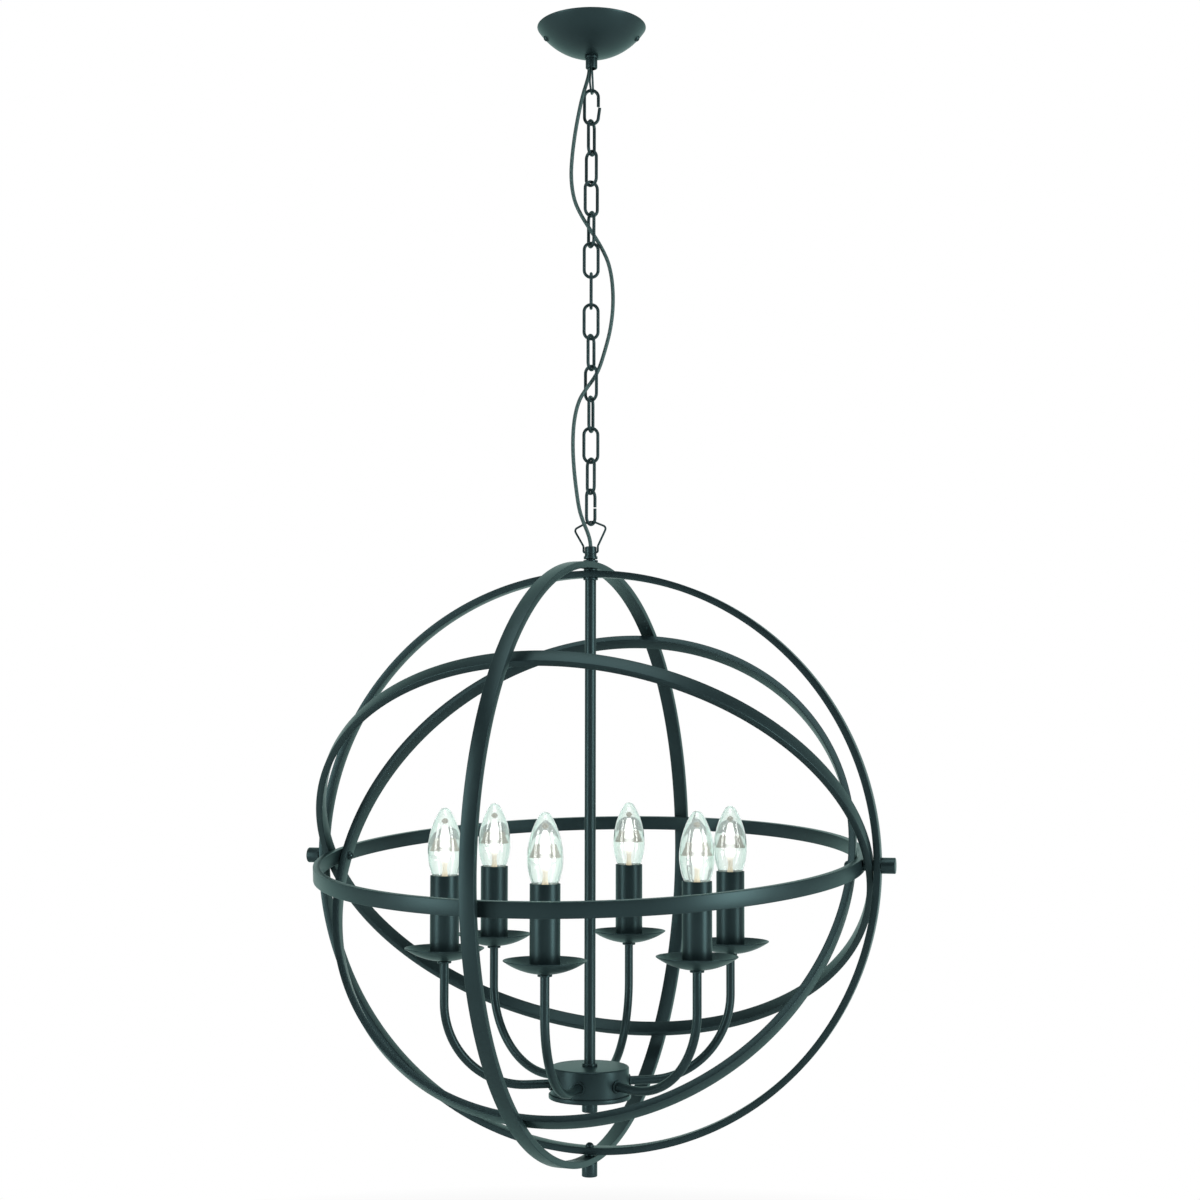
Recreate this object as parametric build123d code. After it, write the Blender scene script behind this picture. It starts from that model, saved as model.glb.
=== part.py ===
"""Orb chandelier: five hoops round a stem with six candle lamps, hung on a chain from a ceiling canopy.

Millimetres, +Z up. The origin is the centre of the ceiling bracket's top face, so the ceiling is
the plane z = 0 and everything hangs below it. +X runs along the two side pivots of the hoops.
"""
from build123d import *
from math import acos, asin, atan2, cos, radians, sin, sqrt, tan
import os

# ---------------------------------------------------------------- general fits
fit_gap = 0.1            # radial gap of a fixed part in its hole
run_gap = 0.08           # radial gap of a hole that turns on a pin
face_gap = 0.15          # gap between flat faces that turn on each other
seat_gap = 0.02          # left between two fixed faces that meet
end_gap = 0.3            # past the end of a thread or tube in its hole

# ---------------------------------------------------------------- canopy at the ceiling
canopy_d = 115.6         # rim of the bowl
canopy_depth = 31.5
canopy_wall = 1.2
canopy_turn = 15.4       # degrees about +Z: direction of the bracket and of the two canopy screws
canopy_screw_lean = 44.0  # degrees up the bowl from its lowest point to a canopy screw
canopy_screw_d = 4.0
canopy_screw_length = 9.0
canopy_head_d = 7.0
canopy_head_h = 2.6

bracket_width = 16.0
bracket_thick = 2.0
bracket_tab = 13.0       # length of each bent tab that takes a canopy screw
bracket_bend_r = 2.5     # to the middle of the sheet
bracket_hole_d = 5.0     # two ceiling screw holes
bracket_hole_pcd = 62.0
cable_hole_d = 12.0      # house wiring comes down through the bracket's middle

block_length = 24.0      # three-way terminal block on the bracket
block_width = 15.0
block_height = 13.0
block_offset = 29.0      # from the axis to its middle, along the bracket's width
block_ways = 3
block_way_d = 3.4
block_round = 1.5        # corners of both terminal blocks

# ---------------------------------------------------------------- loop collars at both ends of the chain
collar_flange_d = 14.5
collar_flange_h = 2.8
collar_d = 12.4
collar_length = 13.0     # flange and body
collar_bore_d = 9.6      # open end, where the cord comes in
collar_round = 1.6       # radius round the open end
collar_groove = 0.4      # depth of the turned line between flange and body
nipple_d = 9.6           # thread through the canopy, and the top of the stem
nipple_bore_d = 7.0
nipple_height = 9.0      # above the collar's flange, through the canopy and its nut
canopy_nut_af = 14.0
canopy_nut_h = 4.0
collar_web = 1.0         # solid between the flange's face and the wide bore
bush_depth = 3.0         # from a collar's open end to the insulating bush inside it
bush_bore_d = 3.2

# ---------------------------------------------------------------- wire bails and chain
bail_wire_d = 2.2
bail_height = 33.3       # pivot axis to the outside of the wire
bail_pivot_in = 7.0      # pivot axis from the collar's flange face
bail_width = 34.8        # between the wire's centres at the two corners
bail_corner_v = 25.6     # height of those corners above the pivot axis
bail_foot_v = 6.5        # height up to which the legs run close along the collar
bail_side_gap = 0.4      # leg to collar
bail_foot_round = 4.0
bail_corner_round = 3.4
bail_top_round = 12.0
bail_pin_in = 1.1        # how far the bent ends reach into the collar's wall
top_bail_turn = 84.0     # degrees from canopy_turn
hanger_bail_turn = -14.0

link_wire_d = 3.4
link_length = 39.6       # outside
link_width = 18.0        # outside
link_gap = 0.25          # between touching wires
link_split = 1.3         # opening in the side of the two links that can be opened
link_turns = [0, 65, -44, 29, 112.6, 5, 90, 0, 65, 142, 73, 5, 120, 53]   # degrees from canopy_turn

# ---------------------------------------------------------------- hoops
bar_width = 15.0         # along the hoop's own axis
bar_thick = 7.0          # radial
meridian_d = 600.0       # outside, the fixed upright hoop
cross_turn = -5.4        # degrees about +Z at rest, from square to the fixed hoop
gap_pole = 2.0           # at both poles: fixed hoop to the upright hoop that turns about the stem
gap_outer = 1.2          # along the side pivots: fixed hoop to outer hoop
gap_middle = 2.6         # outer hoop to middle hoop
gap_inner = 1.0          # middle hoop to inner hoop
clear_outer = 16.5       # square to the side pivots: inside of the turning hoop to outer hoop
clear_middle = 9.0       # the same to middle hoop
clear_inner = 4.5        # the same to inner hoop
outer_tilt = -45.4       # degrees about +X at rest
middle_tilt = 5.3
inner_tilt = 53.0

pivot_d = 5.0            # shank of the side and bottom pivot screws
pivot_head_d = 9.0
pivot_head_h = 4.0
pivot_grip = 9.0         # length of thread inside a knob
knob_d = 16.0
knob_length = 14.0
knob_round = 0.8
spacer_d = 11.0
pole_spacer_d = 14.6     # on the stem, between the two upright hoops

# ---------------------------------------------------------------- stem and hub
stem_d = 11.6
stem_bore_d = 7.0
top_nut_d = 15.3
top_nut_h = 1.9
under_nut_h = 2.4
neck_gap = 1.3           # bare thread between the top nut and the hanger collar
stem_grip = 4.6          # thread inside the hanger collar
hub_top_drop = 211.0     # below the orb's centre
hub_d = 81.0
hub_height = 28.0
hub_wall = 1.5
hub_round = 2.0
hub_cover_d = 84.7
hub_cover_h = 4.7
hub_cover_lip = 3.0      # inner rim of the cover, inside the hub
lock_ring_d = 15.7
lock_ring_h = 3.0
arm_level = 16.4         # arms leave the hub this far below its top
connector_size = (26.0, 20.0, 11.0)   # terminal block in the hub
connector_gap = 1.0      # from the stem's thread to that block

# ---------------------------------------------------------------- lamps
lamp_count = 6
lamp_phase = 28.9        # degrees about +Z of the first lamp from +X
lamp_circle_r = 151.75
arm_d = 9.0
arm_bore_d = 6.6
arm_bend_r = 86.0
arm_inside = 8.0         # length of arm inside the hub wall
arm_collar_d = 13.6
arm_collar_h = 2.0
arm_nut_af = 13.0
arm_nut_h = 3.0
arm_grip = 7.0           # thread of the arm inside the lampholder
cup_rise = 127.4         # cup's underside above the arms' level
cup_d = 83.0
cup_depth = 13.6
cup_wall = 1.0
cup_nut_d = 14.2
cup_nut_h = 2.0
sleeve_d = 29.6
sleeve_wall = 0.6
sleeve_rise = 86.5       # top of the sleeve above the cup's underside
holder_foot_d = 22.0
holder_foot_h = 2.5
holder_neck_d = 15.0
holder_gap = 0.3         # holder to sleeve
holder_body_h = 40.0
holder_drop = 9.0        # top of the holder below the sleeve's top
holder_socket_h = 28.0
holder_cone_h = 4.0      # slope from its neck to its body
holder_seat_gap = 0.05   # holder to cup
bulb_d = 35.0
bulb_belly_rise = 23.5   # widest place above the sleeve's top
bulb_tip_r = 6.6
bulb_upper_r = 80.0      # radius of the flank above the widest place
bulb_lower_r = 47.0      # radius of the flank below it
bulb_glass = 0.9
cap_d = 13.9
cap_length = 22.0
cap_plug_h = 3.0         # the cap's top inside the glass neck
cap_plug_gap = 1.1       # that top to the inside of the glass
cap_tip_d = 8.0
cap_tip_h = 2.6
guide_post_r = 2.6       # clear light guide inside the bulb
guide_post_rise = 20.0
guide_rim_r = 13.6
guide_rim_rise = 33.0
guide_top_r = 6.0
guide_top_rise = 44.0

# ---------------------------------------------------------------- power cord
cord_d = 4.0
lead_d = 3.0             # leads inside the canopy, the stem and the arms
# Route of the free cord between its two bushes: right, behind and height, with right along canopy_turn.
cord_route = [
    (-2.2, 0.0, -48.5), (-5.0, -2.2, -60.0), (-9.0, -5.4, -74.0),
    (-12.6, -5.8, -90.0), (-16.8, -4.0, -112.0), (-20.2, -1.5, -137.0), (-21.6, 0.0, -161.0),
    (-18.4, 0.5, -184.0), (-10.8, 0.3, -200.5), (-3.0, 0.0, -213.0), (4.2, 1.8, -223.5),
    (11.8, 4.4, -235.5), (18.8, 4.6, -251.0), (22.6, 3.6, -272.0), (23.3, 3.0, -297.0),
    (20.3, 3.2, -322.0), (14.6, 3.6, -343.5), (8.6, 2.6, -363.0), (2.4, 0.7, -374.5),
    (-5.2, -1.9, -385.0), (-13.0, -4.2, -398.0), (-17.8, -5.0, -419.0), (-19.0, -5.2, -444.0),
    (-17.6, -5.8, -470.0), (-14.8, -6.6, -494.0), (-12.0, -7.4, -512.5), (-7.6, -6.0, -525.5),
    (-2.8, -2.2, -536.2), (0.0, 0.0, -546.4)]

# ---------------------------------------------------------------- places that follow from the sizes
bowl_r = ((canopy_d / 2) ** 2 + canopy_depth ** 2) / (2 * canopy_depth)   # outside of the bowl
bowl_centre_z = bowl_r - canopy_depth
bracket_tab_depth = (canopy_wall + face_gap + bracket_thick / 2
                     + bowl_r - sqrt(bowl_r ** 2 - (bracket_tab / 2) ** 2 - (bracket_width / 2) ** 2))
top_pivot_z = -canopy_depth - bail_pivot_in
top_bush_z = -canopy_depth - collar_length + bush_depth      # face where the free cord starts
link_pitch = link_length - 2 * link_wire_d - link_gap
link_count = len(link_turns)
first_link_z = (top_pivot_z - bail_height + bail_wire_d + link_gap + link_wire_d
                - link_length / 2)
last_link_z = first_link_z - (link_count - 1) * link_pitch
hanger_pivot_z = (last_link_z - link_length / 2 + link_wire_d + link_gap + bail_wire_d
                  - bail_height)
hanger_seat_z = hanger_pivot_z - bail_pivot_in        # flange face of the lower collar
hanger_bush_z = hanger_seat_z + collar_length - bush_depth   # face where the free cord ends
meridian_r = meridian_d / 2
cross_r = meridian_r + gap_pole + bar_thick           # outside of the turning hoop
orb_z = hanger_seat_z - neck_gap - top_nut_h - face_gap - cross_r

outer_along = meridian_r - bar_thick - gap_outer
middle_along = outer_along - bar_thick - gap_middle
inner_along = middle_along - bar_thick - gap_inner
outer_across = cross_r - bar_thick - clear_outer
middle_across = cross_r - bar_thick - clear_middle
inner_across = cross_r - bar_thick - clear_inner
under_seat_z = orb_z + sqrt((meridian_r - bar_thick) ** 2 - (top_nut_d / 2) ** 2)
pivot_hole_d = pivot_d + 2 * run_gap
stem_hole_d = nipple_d + 2 * run_gap

hub_top_z = orb_z - hub_top_drop
hub_bottom_z = hub_top_z - hub_height
arm_z = hub_top_z - arm_level
cup_z = arm_z + cup_rise                              # underside of the cup
cup_r = ((cup_d / 2) ** 2 + cup_depth ** 2) / (2 * cup_depth)
sleeve_top_z = cup_z + sleeve_rise
belly_z = sleeve_top_z + bulb_belly_rise
neck_r = cap_d / 2
neck_z = belly_z - sqrt(bulb_lower_r ** 2 - (bulb_lower_r - bulb_d / 2 + neck_r) ** 2)
holder_top_z = sleeve_top_z - holder_drop


def tube(outer_d, inner_d, low, high):
    """A straight round tube about +Z between two heights."""
    wall = Circle(outer_d / 2) - Circle(inner_d / 2)
    return Pos(0, 0, low) * extrude(wall, high - low)


def rod(diameter, low, high):
    """A round rod about +Z between two heights."""
    return Pos(0, 0, low) * extrude(Circle(diameter / 2), high - low)


def hex_nut(across_flats, bore_d, low, high):
    """A hexagonal nut about +Z between two heights."""
    outline = RegularPolygon(across_flats / 2, 6, major_radius=False) - Circle(bore_d / 2)
    return Pos(0, 0, low) * extrude(outline, high - low)


def turned(points):
    """A solid of revolution about +Z from (radius, height) points."""
    outline = make_face(Plane.XZ * Polyline(*points, close=True))
    return revolve(outline, Axis.Z)


def sphere_rise(sphere_r, radius):
    """How far a ball's surface has risen at a radius from its lowest point."""
    return sphere_r - sqrt(sphere_r ** 2 - radius ** 2)


def save(name, *pieces):
    """Write one or more separate solids as one sub-part."""
    solids = [solid for piece in pieces for solid in piece.solids()]
    shape = solids[0] if len(solids) == 1 else Compound(children=solids)
    export_step(shape, os.path.join("parts", name + ".step"))


# ---------------------------------------------------------------- canopy
def along_bracket(shape):
    """Turn a shape made along +X to the bracket's direction."""
    return Rot(0, 0, canopy_turn) * shape


def screw_place(side, depth):
    """Place whose +Z points out of the bowl at a canopy screw, depth inside the outer surface."""
    lean = side * (180 - canopy_screw_lean)
    return Pos(0, 0, bowl_centre_z) * Rot(0, lean, 0) * Pos(0, 0, bowl_r - depth)


def canopy_cover():
    """The spun bowl, with a hole for the collar and one for each canopy screw."""
    centre = Pos(0, 0, bowl_centre_z)
    bowl = centre * Sphere(bowl_r) - centre * Sphere(bowl_r - canopy_wall)
    bowl &= Pos(0, 0, -bowl_r) * Box(4 * bowl_r, 4 * bowl_r, 2 * bowl_r)
    bowl -= rod(nipple_d + 2 * fit_gap, -2 * canopy_depth, 0)
    for side in (-1, 1):
        hole = Cylinder(canopy_screw_d / 2 + fit_gap, 4 * canopy_wall)
        bowl -= screw_place(side, canopy_wall / 2) * hole
    return along_bracket(bowl)


def ceiling_bracket():
    """A strip against the ceiling, bent at both ends for the canopy screws, with an ear for the block."""
    half = bracket_thick / 2
    reach = bowl_r - bracket_tab_depth
    lean = radians(canopy_screw_lean)
    mid = Vector(reach * sin(lean), 0, bowl_centre_z - reach * cos(lean))
    slope = Vector(cos(lean), 0, sin(lean))
    upper = mid + slope * (bracket_tab / 3)
    right = [mid - slope * (bracket_tab / 2), upper, Vector(upper.X, 0, -half)]
    left = [Vector(-point.X, 0, point.Z) for point in reversed(right)]
    path = FilletPolyline(*right, *left, radius=bracket_bend_r)
    section = Plane(origin=path @ 0, z_dir=path % 0, x_dir=(0, 1, 0)) * Rectangle(bracket_width, bracket_thick)
    strip = sweep(section, path)
    ear_end = block_offset + block_width / 2
    strip += Pos(0, ear_end / 2, -half) * Box(block_length - bracket_bend_r, ear_end, bracket_thick)
    strip -= Pos(0, 0, -half) * Cylinder(cable_hole_d / 2, 4 * half)
    for side in (-1, 1):
        strip -= Pos(side * bracket_hole_pcd / 2, 0, -half) * Cylinder(bracket_hole_d / 2, 4 * half)
        thread = Cylinder(canopy_screw_d / 2 + fit_gap, 3 * bracket_thick)
        strip -= screw_place(side, bracket_tab_depth) * thread
    return along_bracket(strip)


def canopy_screws():
    """Two domed screws through the bowl into the bracket's tabs."""
    screws = []
    for side in (-1, 1):
        place = screw_place(side, 0)
        low = sphere_rise(bowl_r, canopy_head_d / 2)
        screws.append(place * (domed_head(canopy_head_d, canopy_head_h, low - fit_gap)
                               + rod(canopy_screw_d, -canopy_screw_length, 0)))
    return along_bracket(Compound(children=screws))


def domed_head(diameter, height, base=0.0):
    """A round screw head standing on z = base, with a straight slot cut in its top."""
    radius = ((diameter / 2) ** 2 + height ** 2) / (2 * height)
    head = Pos(0, 0, base + height - radius) * Sphere(radius)
    head &= Pos(0, 0, base + height) * Box(2 * diameter, 2 * diameter, 2 * height)
    slot = Pos(0, 0, base + height) * Box(diameter, diameter / 8, height / 2)
    return head - slot


def loop_collar(seat_z, turn, down):
    """The turned collar whose open end takes the cord and whose side holes take a bail.

    The upper one hangs open end down and has the hollow thread that goes through the canopy. The
    lower one stands on its flange and screws on the top of the stem.
    """
    inner_end = collar_flange_h + collar_web
    body = tube(collar_flange_d, nipple_bore_d, 0, collar_flange_h)
    barrel = Pos(0, 0, collar_flange_h) * extrude(Circle(collar_d / 2), collar_length - collar_flange_h)
    barrel = fillet(barrel.edges().sort_by(Axis.Z)[-1], collar_round)
    line = tube(2 * collar_d, collar_d - 2 * collar_groove, collar_flange_h, collar_flange_h + collar_groove)
    body += barrel - line
    body -= rod(nipple_bore_d, -1, inner_end)
    body -= rod(collar_bore_d, inner_end, collar_length + 1)
    if down:
        body += tube(nipple_d, nipple_bore_d, -nipple_height, 0)
    else:
        body -= rod(nipple_d + 2 * fit_gap, -1, stem_grip + face_gap)
    pin_hole = Rot(0, 90, 0) * Cylinder(bail_wire_d / 2 + run_gap, 2 * collar_d)
    body -= Pos(0, 0, bail_pivot_in) * pin_hole
    flip = Rot(180, 0, 0) if down else Rot(0, 0, 0)
    return Pos(0, 0, seat_z) * Rot(0, 0, canopy_turn + turn) * flip * body


def canopy_nut():
    """Nut on the collar's thread, seated on the inside of the bowl."""
    corner = canopy_nut_af / sqrt(3)
    low = -canopy_depth + canopy_wall + sphere_rise(bowl_r - canopy_wall, corner) + seat_gap
    return hex_nut(canopy_nut_af, nipple_d + 2 * fit_gap, low, low + canopy_nut_h)


def bush(face_a, face_b):
    """Insulating bush that fills a collar's bore between two heights."""
    low, high = min(face_a, face_b), max(face_a, face_b)
    return tube(collar_bore_d - 2 * fit_gap, bush_bore_d, low, high)


def terminal_block():
    """Moulded block on the bracket's ear, with a through hole for each way."""
    low = -bracket_thick - block_height
    body = Pos(0, block_offset, low + block_height / 2) * Box(block_length, block_width, block_height)
    body = fillet(body.edges().filter_by(Axis.Z), block_round)
    for way in range(block_ways):
        x = (way - (block_ways - 1) / 2) * block_length / block_ways
        body -= Pos(x, block_offset, low + block_height / 3) * Rot(90, 0, 0) * Cylinder(block_way_d / 2, 2 * block_width)
    return along_bracket(body)


# ---------------------------------------------------------------- chain
def bail(pivot_z, up, turn):
    """A bent wire hanger: ends in the collar's side holes, peak at bail_height."""
    foot_u = collar_d / 2 + bail_side_gap + bail_wire_d / 2
    pin_u = collar_d / 2 - bail_pin_in
    slope = atan2(bail_height - bail_wire_d / 2 - bail_corner_v, bail_width / 2)
    drop = bail_top_round * (1 / cos(slope) - 1)
    peak_v = bail_height - bail_wire_d / 2 + drop
    half = [(pin_u, 0), (foot_u, 0), (foot_u, bail_foot_v), (bail_width / 2, bail_corner_v)]
    points = half + [(0, peak_v)] + [(-u, v) for u, v in reversed(half)]
    elbow = bail_side_gap + bail_pin_in
    radii = [elbow, bail_foot_round, bail_corner_round, bail_top_round,
             bail_corner_round, bail_foot_round, elbow]
    path = FilletPolyline(*[(u, 0, v) for u, v in points], radius=radii)
    wire = sweep(Plane(origin=path @ 0, z_dir=path % 0) * Circle(bail_wire_d / 2), path)
    upright = Rot(0, 0, canopy_turn + turn)
    return Pos(0, 0, pivot_z) * upright * (wire if up else Rot(180, 0, 0) * wire)


def chain_link(number):
    """One oval link; the first and the last have an opening in one side."""
    bend_r = (link_width - link_wire_d) / 2
    leg = link_length / 2 - link_width / 2
    section = Circle(link_wire_d / 2)
    ring = Plane.XY * Pos(bend_r, 0, 0) * section
    top = Pos(0, 0, leg) * revolve(ring, Axis((0, 0, 0), (0, 1, 0)), -180)
    low = Pos(0, 0, -leg) * revolve(ring, Axis((0, 0, 0), (0, 1, 0)), 180)
    link = top + low
    for side in (-1, 1):
        link += Pos(side * bend_r, 0, -leg) * extrude(section, 2 * leg)
    if number in (0, link_count - 1):
        link -= Pos(bend_r, 0, 0) * Box(2 * link_wire_d, 2 * link_wire_d, link_split)
    return Pos(0, 0, first_link_z - number * link_pitch) * Rot(0, 0, canopy_turn + link_turns[number]) * link


def cord_point(right, behind, height):
    """A point of the cord's route in the part's own axes."""
    turn = radians(canopy_turn)
    return Vector(right * cos(turn) - behind * sin(turn), right * sin(turn) + behind * cos(turn), height)


def round_path(points):
    """Straight runs joined by tangent arcs as large as each pair of runs allows."""
    radii = []
    for before, here, after in zip(points, points[1:], points[2:]):
        turn = (here - before).get_angle(after - here)
        shorter = min((here - before).length, (after - here).length)
        radii.append(0.45 * shorter / tan(radians(turn) / 2))
    return FilletPolyline(*points, radius=radii), radii


def power_cord():
    """The free cord that hangs beside the chain and passes through two of its links."""
    first, last = cord_route[0], cord_route[-1]
    route = [(first[0], first[1], top_bush_z), *cord_route, (last[0], last[1], hanger_bush_z)]
    path, radii = round_path([cord_point(*point) for point in route])
    print("cord radii", [round(radius, 1) for radius in radii])
    cord = sweep(Plane(origin=path @ 0, z_dir=path % 0) * Circle(cord_d / 2), path)
    expected = path.length * Circle(cord_d / 2).area
    print(f"cord length {path.length:.1f}, volume {cord.volume:.0f} of {expected:.0f}")
    return cord


def canopy_lead():
    """The cord's inner end, from the bush up through the collar to the terminal block."""
    start = -canopy_depth - collar_flange_h - collar_web
    end = -bracket_thick - block_height * 2 / 3
    near_block = block_offset - block_width / 2
    points = [Vector(0, 0, start), Vector(0, 0, end), Vector(0, near_block, end)]
    path = FilletPolyline(*points, radius=[min(near_block, end - start) * 0.6])
    lead = sweep(Plane(origin=path @ 0, z_dir=path % 0) * Circle(lead_d / 2), path)
    return along_bracket(lead)


# ---------------------------------------------------------------- hoops
def hoop(along, across, tilt, pivot_hole):
    """A hoop of flat bar whose half-sizes are along +X and across it, turned about +X by tilt."""
    outline = Ellipse(along, across) if along != across else Circle(along)
    inner = (Ellipse(along - bar_thick, across - bar_thick) if along != across
             else Circle(along - bar_thick))
    bar = extrude(outline - inner, bar_width / 2, both=True)
    bar -= Rot(0, 90, 0) * Cylinder(pivot_hole / 2, 3 * along)
    return Pos(0, 0, orb_z) * Rot(tilt, 0, 0) * bar


def meridian_hoop():
    """The fixed upright hoop, with holes for the stem, the side pivots and the bottom screw."""
    bar = hoop(meridian_r, meridian_r, 90, pivot_d + 2 * fit_gap)
    bar -= rod(nipple_d + 2 * fit_gap, orb_z, orb_z + meridian_d)
    return bar - rod(pivot_d + 2 * fit_gap, orb_z - meridian_d, orb_z)


def cross_hoop():
    """The upright hoop that turns about the stem's thread and the bottom screw."""
    outline = Circle(cross_r) - Circle(cross_r - bar_thick)
    bar = extrude(outline, bar_width / 2, both=True)
    bar = Pos(0, 0, orb_z) * Rot(0, 0, cross_turn) * Rot(0, 90, 0) * bar
    bar -= rod(stem_hole_d, orb_z, orb_z + 2 * cross_r)
    return bar - rod(pivot_hole_d, orb_z - 2 * cross_r, orb_z)


def side_place(side, reach):
    """Place at a distance from the orb's centre along +X or -X, with +Z pointing outwards."""
    return Pos(side * reach, 0, orb_z) * Rot(0, side * 90, 0)


def knobs():
    """Turned knobs on the two side pivots and under the orb, with a blind threaded hole."""
    knob = extrude(Circle(knob_d / 2), knob_length)
    knob = fillet(knob.edges().sort_by(Axis.Z)[-1], knob_round)
    knob -= rod(pivot_d + 2 * fit_gap, -1, pivot_grip + 1)
    bottom = Pos(0, 0, orb_z - cross_r - face_gap) * Rot(180, 0, 0) * knob
    sides = [side_place(side, meridian_r + face_gap) * knob for side in (-1, 1)]
    return sides + [bottom]


def pivot_screw(inner_face, outer_face):
    """A domed screw along +Z: head inside the inner face, thread through to a knob's grip."""
    head_base = -(inner_face - 2 * face_gap)
    head = Rot(180, 0, 0) * domed_head(pivot_head_d, pivot_head_h, head_base)
    return head + rod(pivot_d, inner_face - 2 * face_gap, outer_face + face_gap + pivot_grip)


def pivot_screws():
    """Two side screws through all but the turning upright hoop, and one at the bottom pole."""
    side_screw = pivot_screw(inner_along - bar_thick, meridian_r)
    bottom = Pos(0, 0, orb_z) * Rot(180, 0, 0) * pivot_screw(meridian_r - bar_thick, cross_r)
    return [side_place(side, 0) * side_screw for side in (-1, 1)] + [bottom]


def spacer(bore_d, outer_d, hoop_inner_r, gap):
    """A washer along +Z that fills the gap inside a hoop, less its faces' clearance."""
    hollow = sphere_rise(hoop_inner_r, outer_d / 2)
    high = hoop_inner_r - hollow - face_gap
    return tube(outer_d, bore_d, hoop_inner_r - gap + face_gap, high)


def pivot_spacers():
    """Washers between the hoops: three at each side pivot and one at each pole."""
    bore = pivot_d + 2 * fit_gap
    washers = []
    for side in (-1, 1):
        for reach, gap in ((meridian_r, gap_outer), (outer_along, gap_middle), (middle_along, gap_inner)):
            washers.append(side_place(side, 0) * spacer(bore, spacer_d, reach - bar_thick, gap))
    pole_gap = cross_r - bar_thick - meridian_r
    top = spacer(nipple_d + 2 * fit_gap, pole_spacer_d, cross_r - bar_thick, pole_gap)
    low = spacer(bore, spacer_d, cross_r - bar_thick, pole_gap)
    return washers + [Pos(0, 0, orb_z) * top, Pos(0, 0, orb_z) * Rot(180, 0, 0) * low]


# ---------------------------------------------------------------- stem and hub
def top_nuts():
    """Round nuts on the stem's thread: one above the turning hoop, one under the fixed hoop."""
    bore = nipple_d + 2 * fit_gap
    over = orb_z + cross_r + face_gap
    under = under_seat_z - seat_gap
    return [tube(top_nut_d, bore, over, over + top_nut_h),
            tube(top_nut_d, bore, under - under_nut_h, under)]


def stem():
    """The tube down the middle, with a thinner threaded end up through both hoops."""
    shoulder = under_seat_z - under_nut_h - 2 * seat_gap
    low_end = hub_bottom_z - hub_cover_h - knob_length / 2
    shape = rod(stem_d, hub_top_z + lock_ring_h / 2, shoulder)
    shape += rod(nipple_d, low_end, hanger_seat_z + stem_grip)
    shape -= rod(stem_bore_d, hub_top_z - hub_height / 2, hanger_seat_z + stem_grip + 1)
    return shape


def stem_lock_ring():
    """The stepped ring that locks the stem on top of the hub."""
    half = hub_top_z + lock_ring_h / 2
    ring = rod(lock_ring_d, hub_top_z, hub_top_z + lock_ring_h)
    ring = fillet(ring.edges().sort_by(Axis.Z)[-1], lock_ring_h / 4)
    ring -= rod(stem_d + 2 * fit_gap, half, hub_top_z + 2 * lock_ring_h)
    return ring - rod(nipple_d + 2 * fit_gap, hub_top_z - 1, half)


def hub_body():
    """The round box, open below, with six holes in its side for the arms."""
    shell = rod(hub_d, hub_bottom_z, hub_top_z)
    shell = fillet(shell.edges().sort_by(Axis.Z)[-1], hub_round)
    shell -= rod(hub_d - 2 * hub_wall, hub_bottom_z - 1, hub_top_z - hub_wall)
    shell -= rod(nipple_d + 2 * fit_gap, hub_bottom_z, hub_top_z + 1)
    for angle in lamp_angles():
        hole = Pos(hub_d / 2, 0, arm_z) * Rot(0, 90, 0) * Cylinder(arm_d / 2 + fit_gap, 8 * hub_wall)
        shell -= Rot(0, 0, angle) * hole
    return shell


def hub_cover():
    """The plate that closes the hub, with an inner rim that locates it."""
    top = hub_bottom_z - seat_gap
    plate = rod(hub_cover_d, hub_bottom_z - hub_cover_h, top)
    plate = fillet(plate.edges().sort_by(Axis.Z)[0], hub_cover_h / 3)
    rim_d = hub_d - 2 * hub_wall - 2 * fit_gap
    plate += tube(rim_d, rim_d - 2 * hub_wall, top, top + hub_cover_lip)
    return plate - rod(nipple_d + 2 * fit_gap, hub_bottom_z - 2 * hub_cover_h, hub_top_z)


def hub_finial():
    """The turned nut under the hub that holds the cover on the stem's lower thread."""
    top = hub_bottom_z - hub_cover_h - seat_gap
    shape = rod(knob_d, top - knob_length, top)
    shape = fillet(shape.edges().sort_by(Axis.Z)[0], knob_round)
    return shape - rod(nipple_d + 2 * fit_gap, top - knob_length / 2 - 1, top + 1)


def hub_connector():
    """Terminal block on the hub's inner ceiling beside the stem, where the lamp leads meet."""
    length, width, height = connector_size
    offset = nipple_d / 2 + connector_gap + width / 2
    body = Pos(0, offset, hub_top_z - hub_wall - height / 2) * Box(length, width, height)
    return fillet(body.edges().filter_by(Axis.Z), block_round)


# ---------------------------------------------------------------- arms and lamps
def lamp_angles():
    """The bearing of each lamp about +Z."""
    return [lamp_phase + number * 360 / lamp_count for number in range(lamp_count)]


def at_lamp(angle, shape):
    """Carry a shape made about +Z to one lamp."""
    return Rot(0, 0, angle) * Pos(lamp_circle_r, 0, 0) * shape


def arm_path(start_r, end_z):
    """Centre line in the XZ plane: out of the hub, a quarter bend, then straight up."""
    points = [(start_r, 0, arm_z), (lamp_circle_r, 0, arm_z), (lamp_circle_r, 0, end_z)]
    return FilletPolyline(*points, radius=arm_bend_r)


def swept(path, diameter):
    """A round rod along a path."""
    return sweep(Plane(origin=path @ 0, z_dir=path % 0) * Circle(diameter / 2), path)


holder_seat_z = cup_z + cup_wall + sphere_rise(cup_r - cup_wall, holder_foot_d / 2) + holder_seat_gap
arm_start_r = hub_d / 2 - hub_wall - arm_inside
arm_end_z = holder_seat_z + arm_grip


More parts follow.
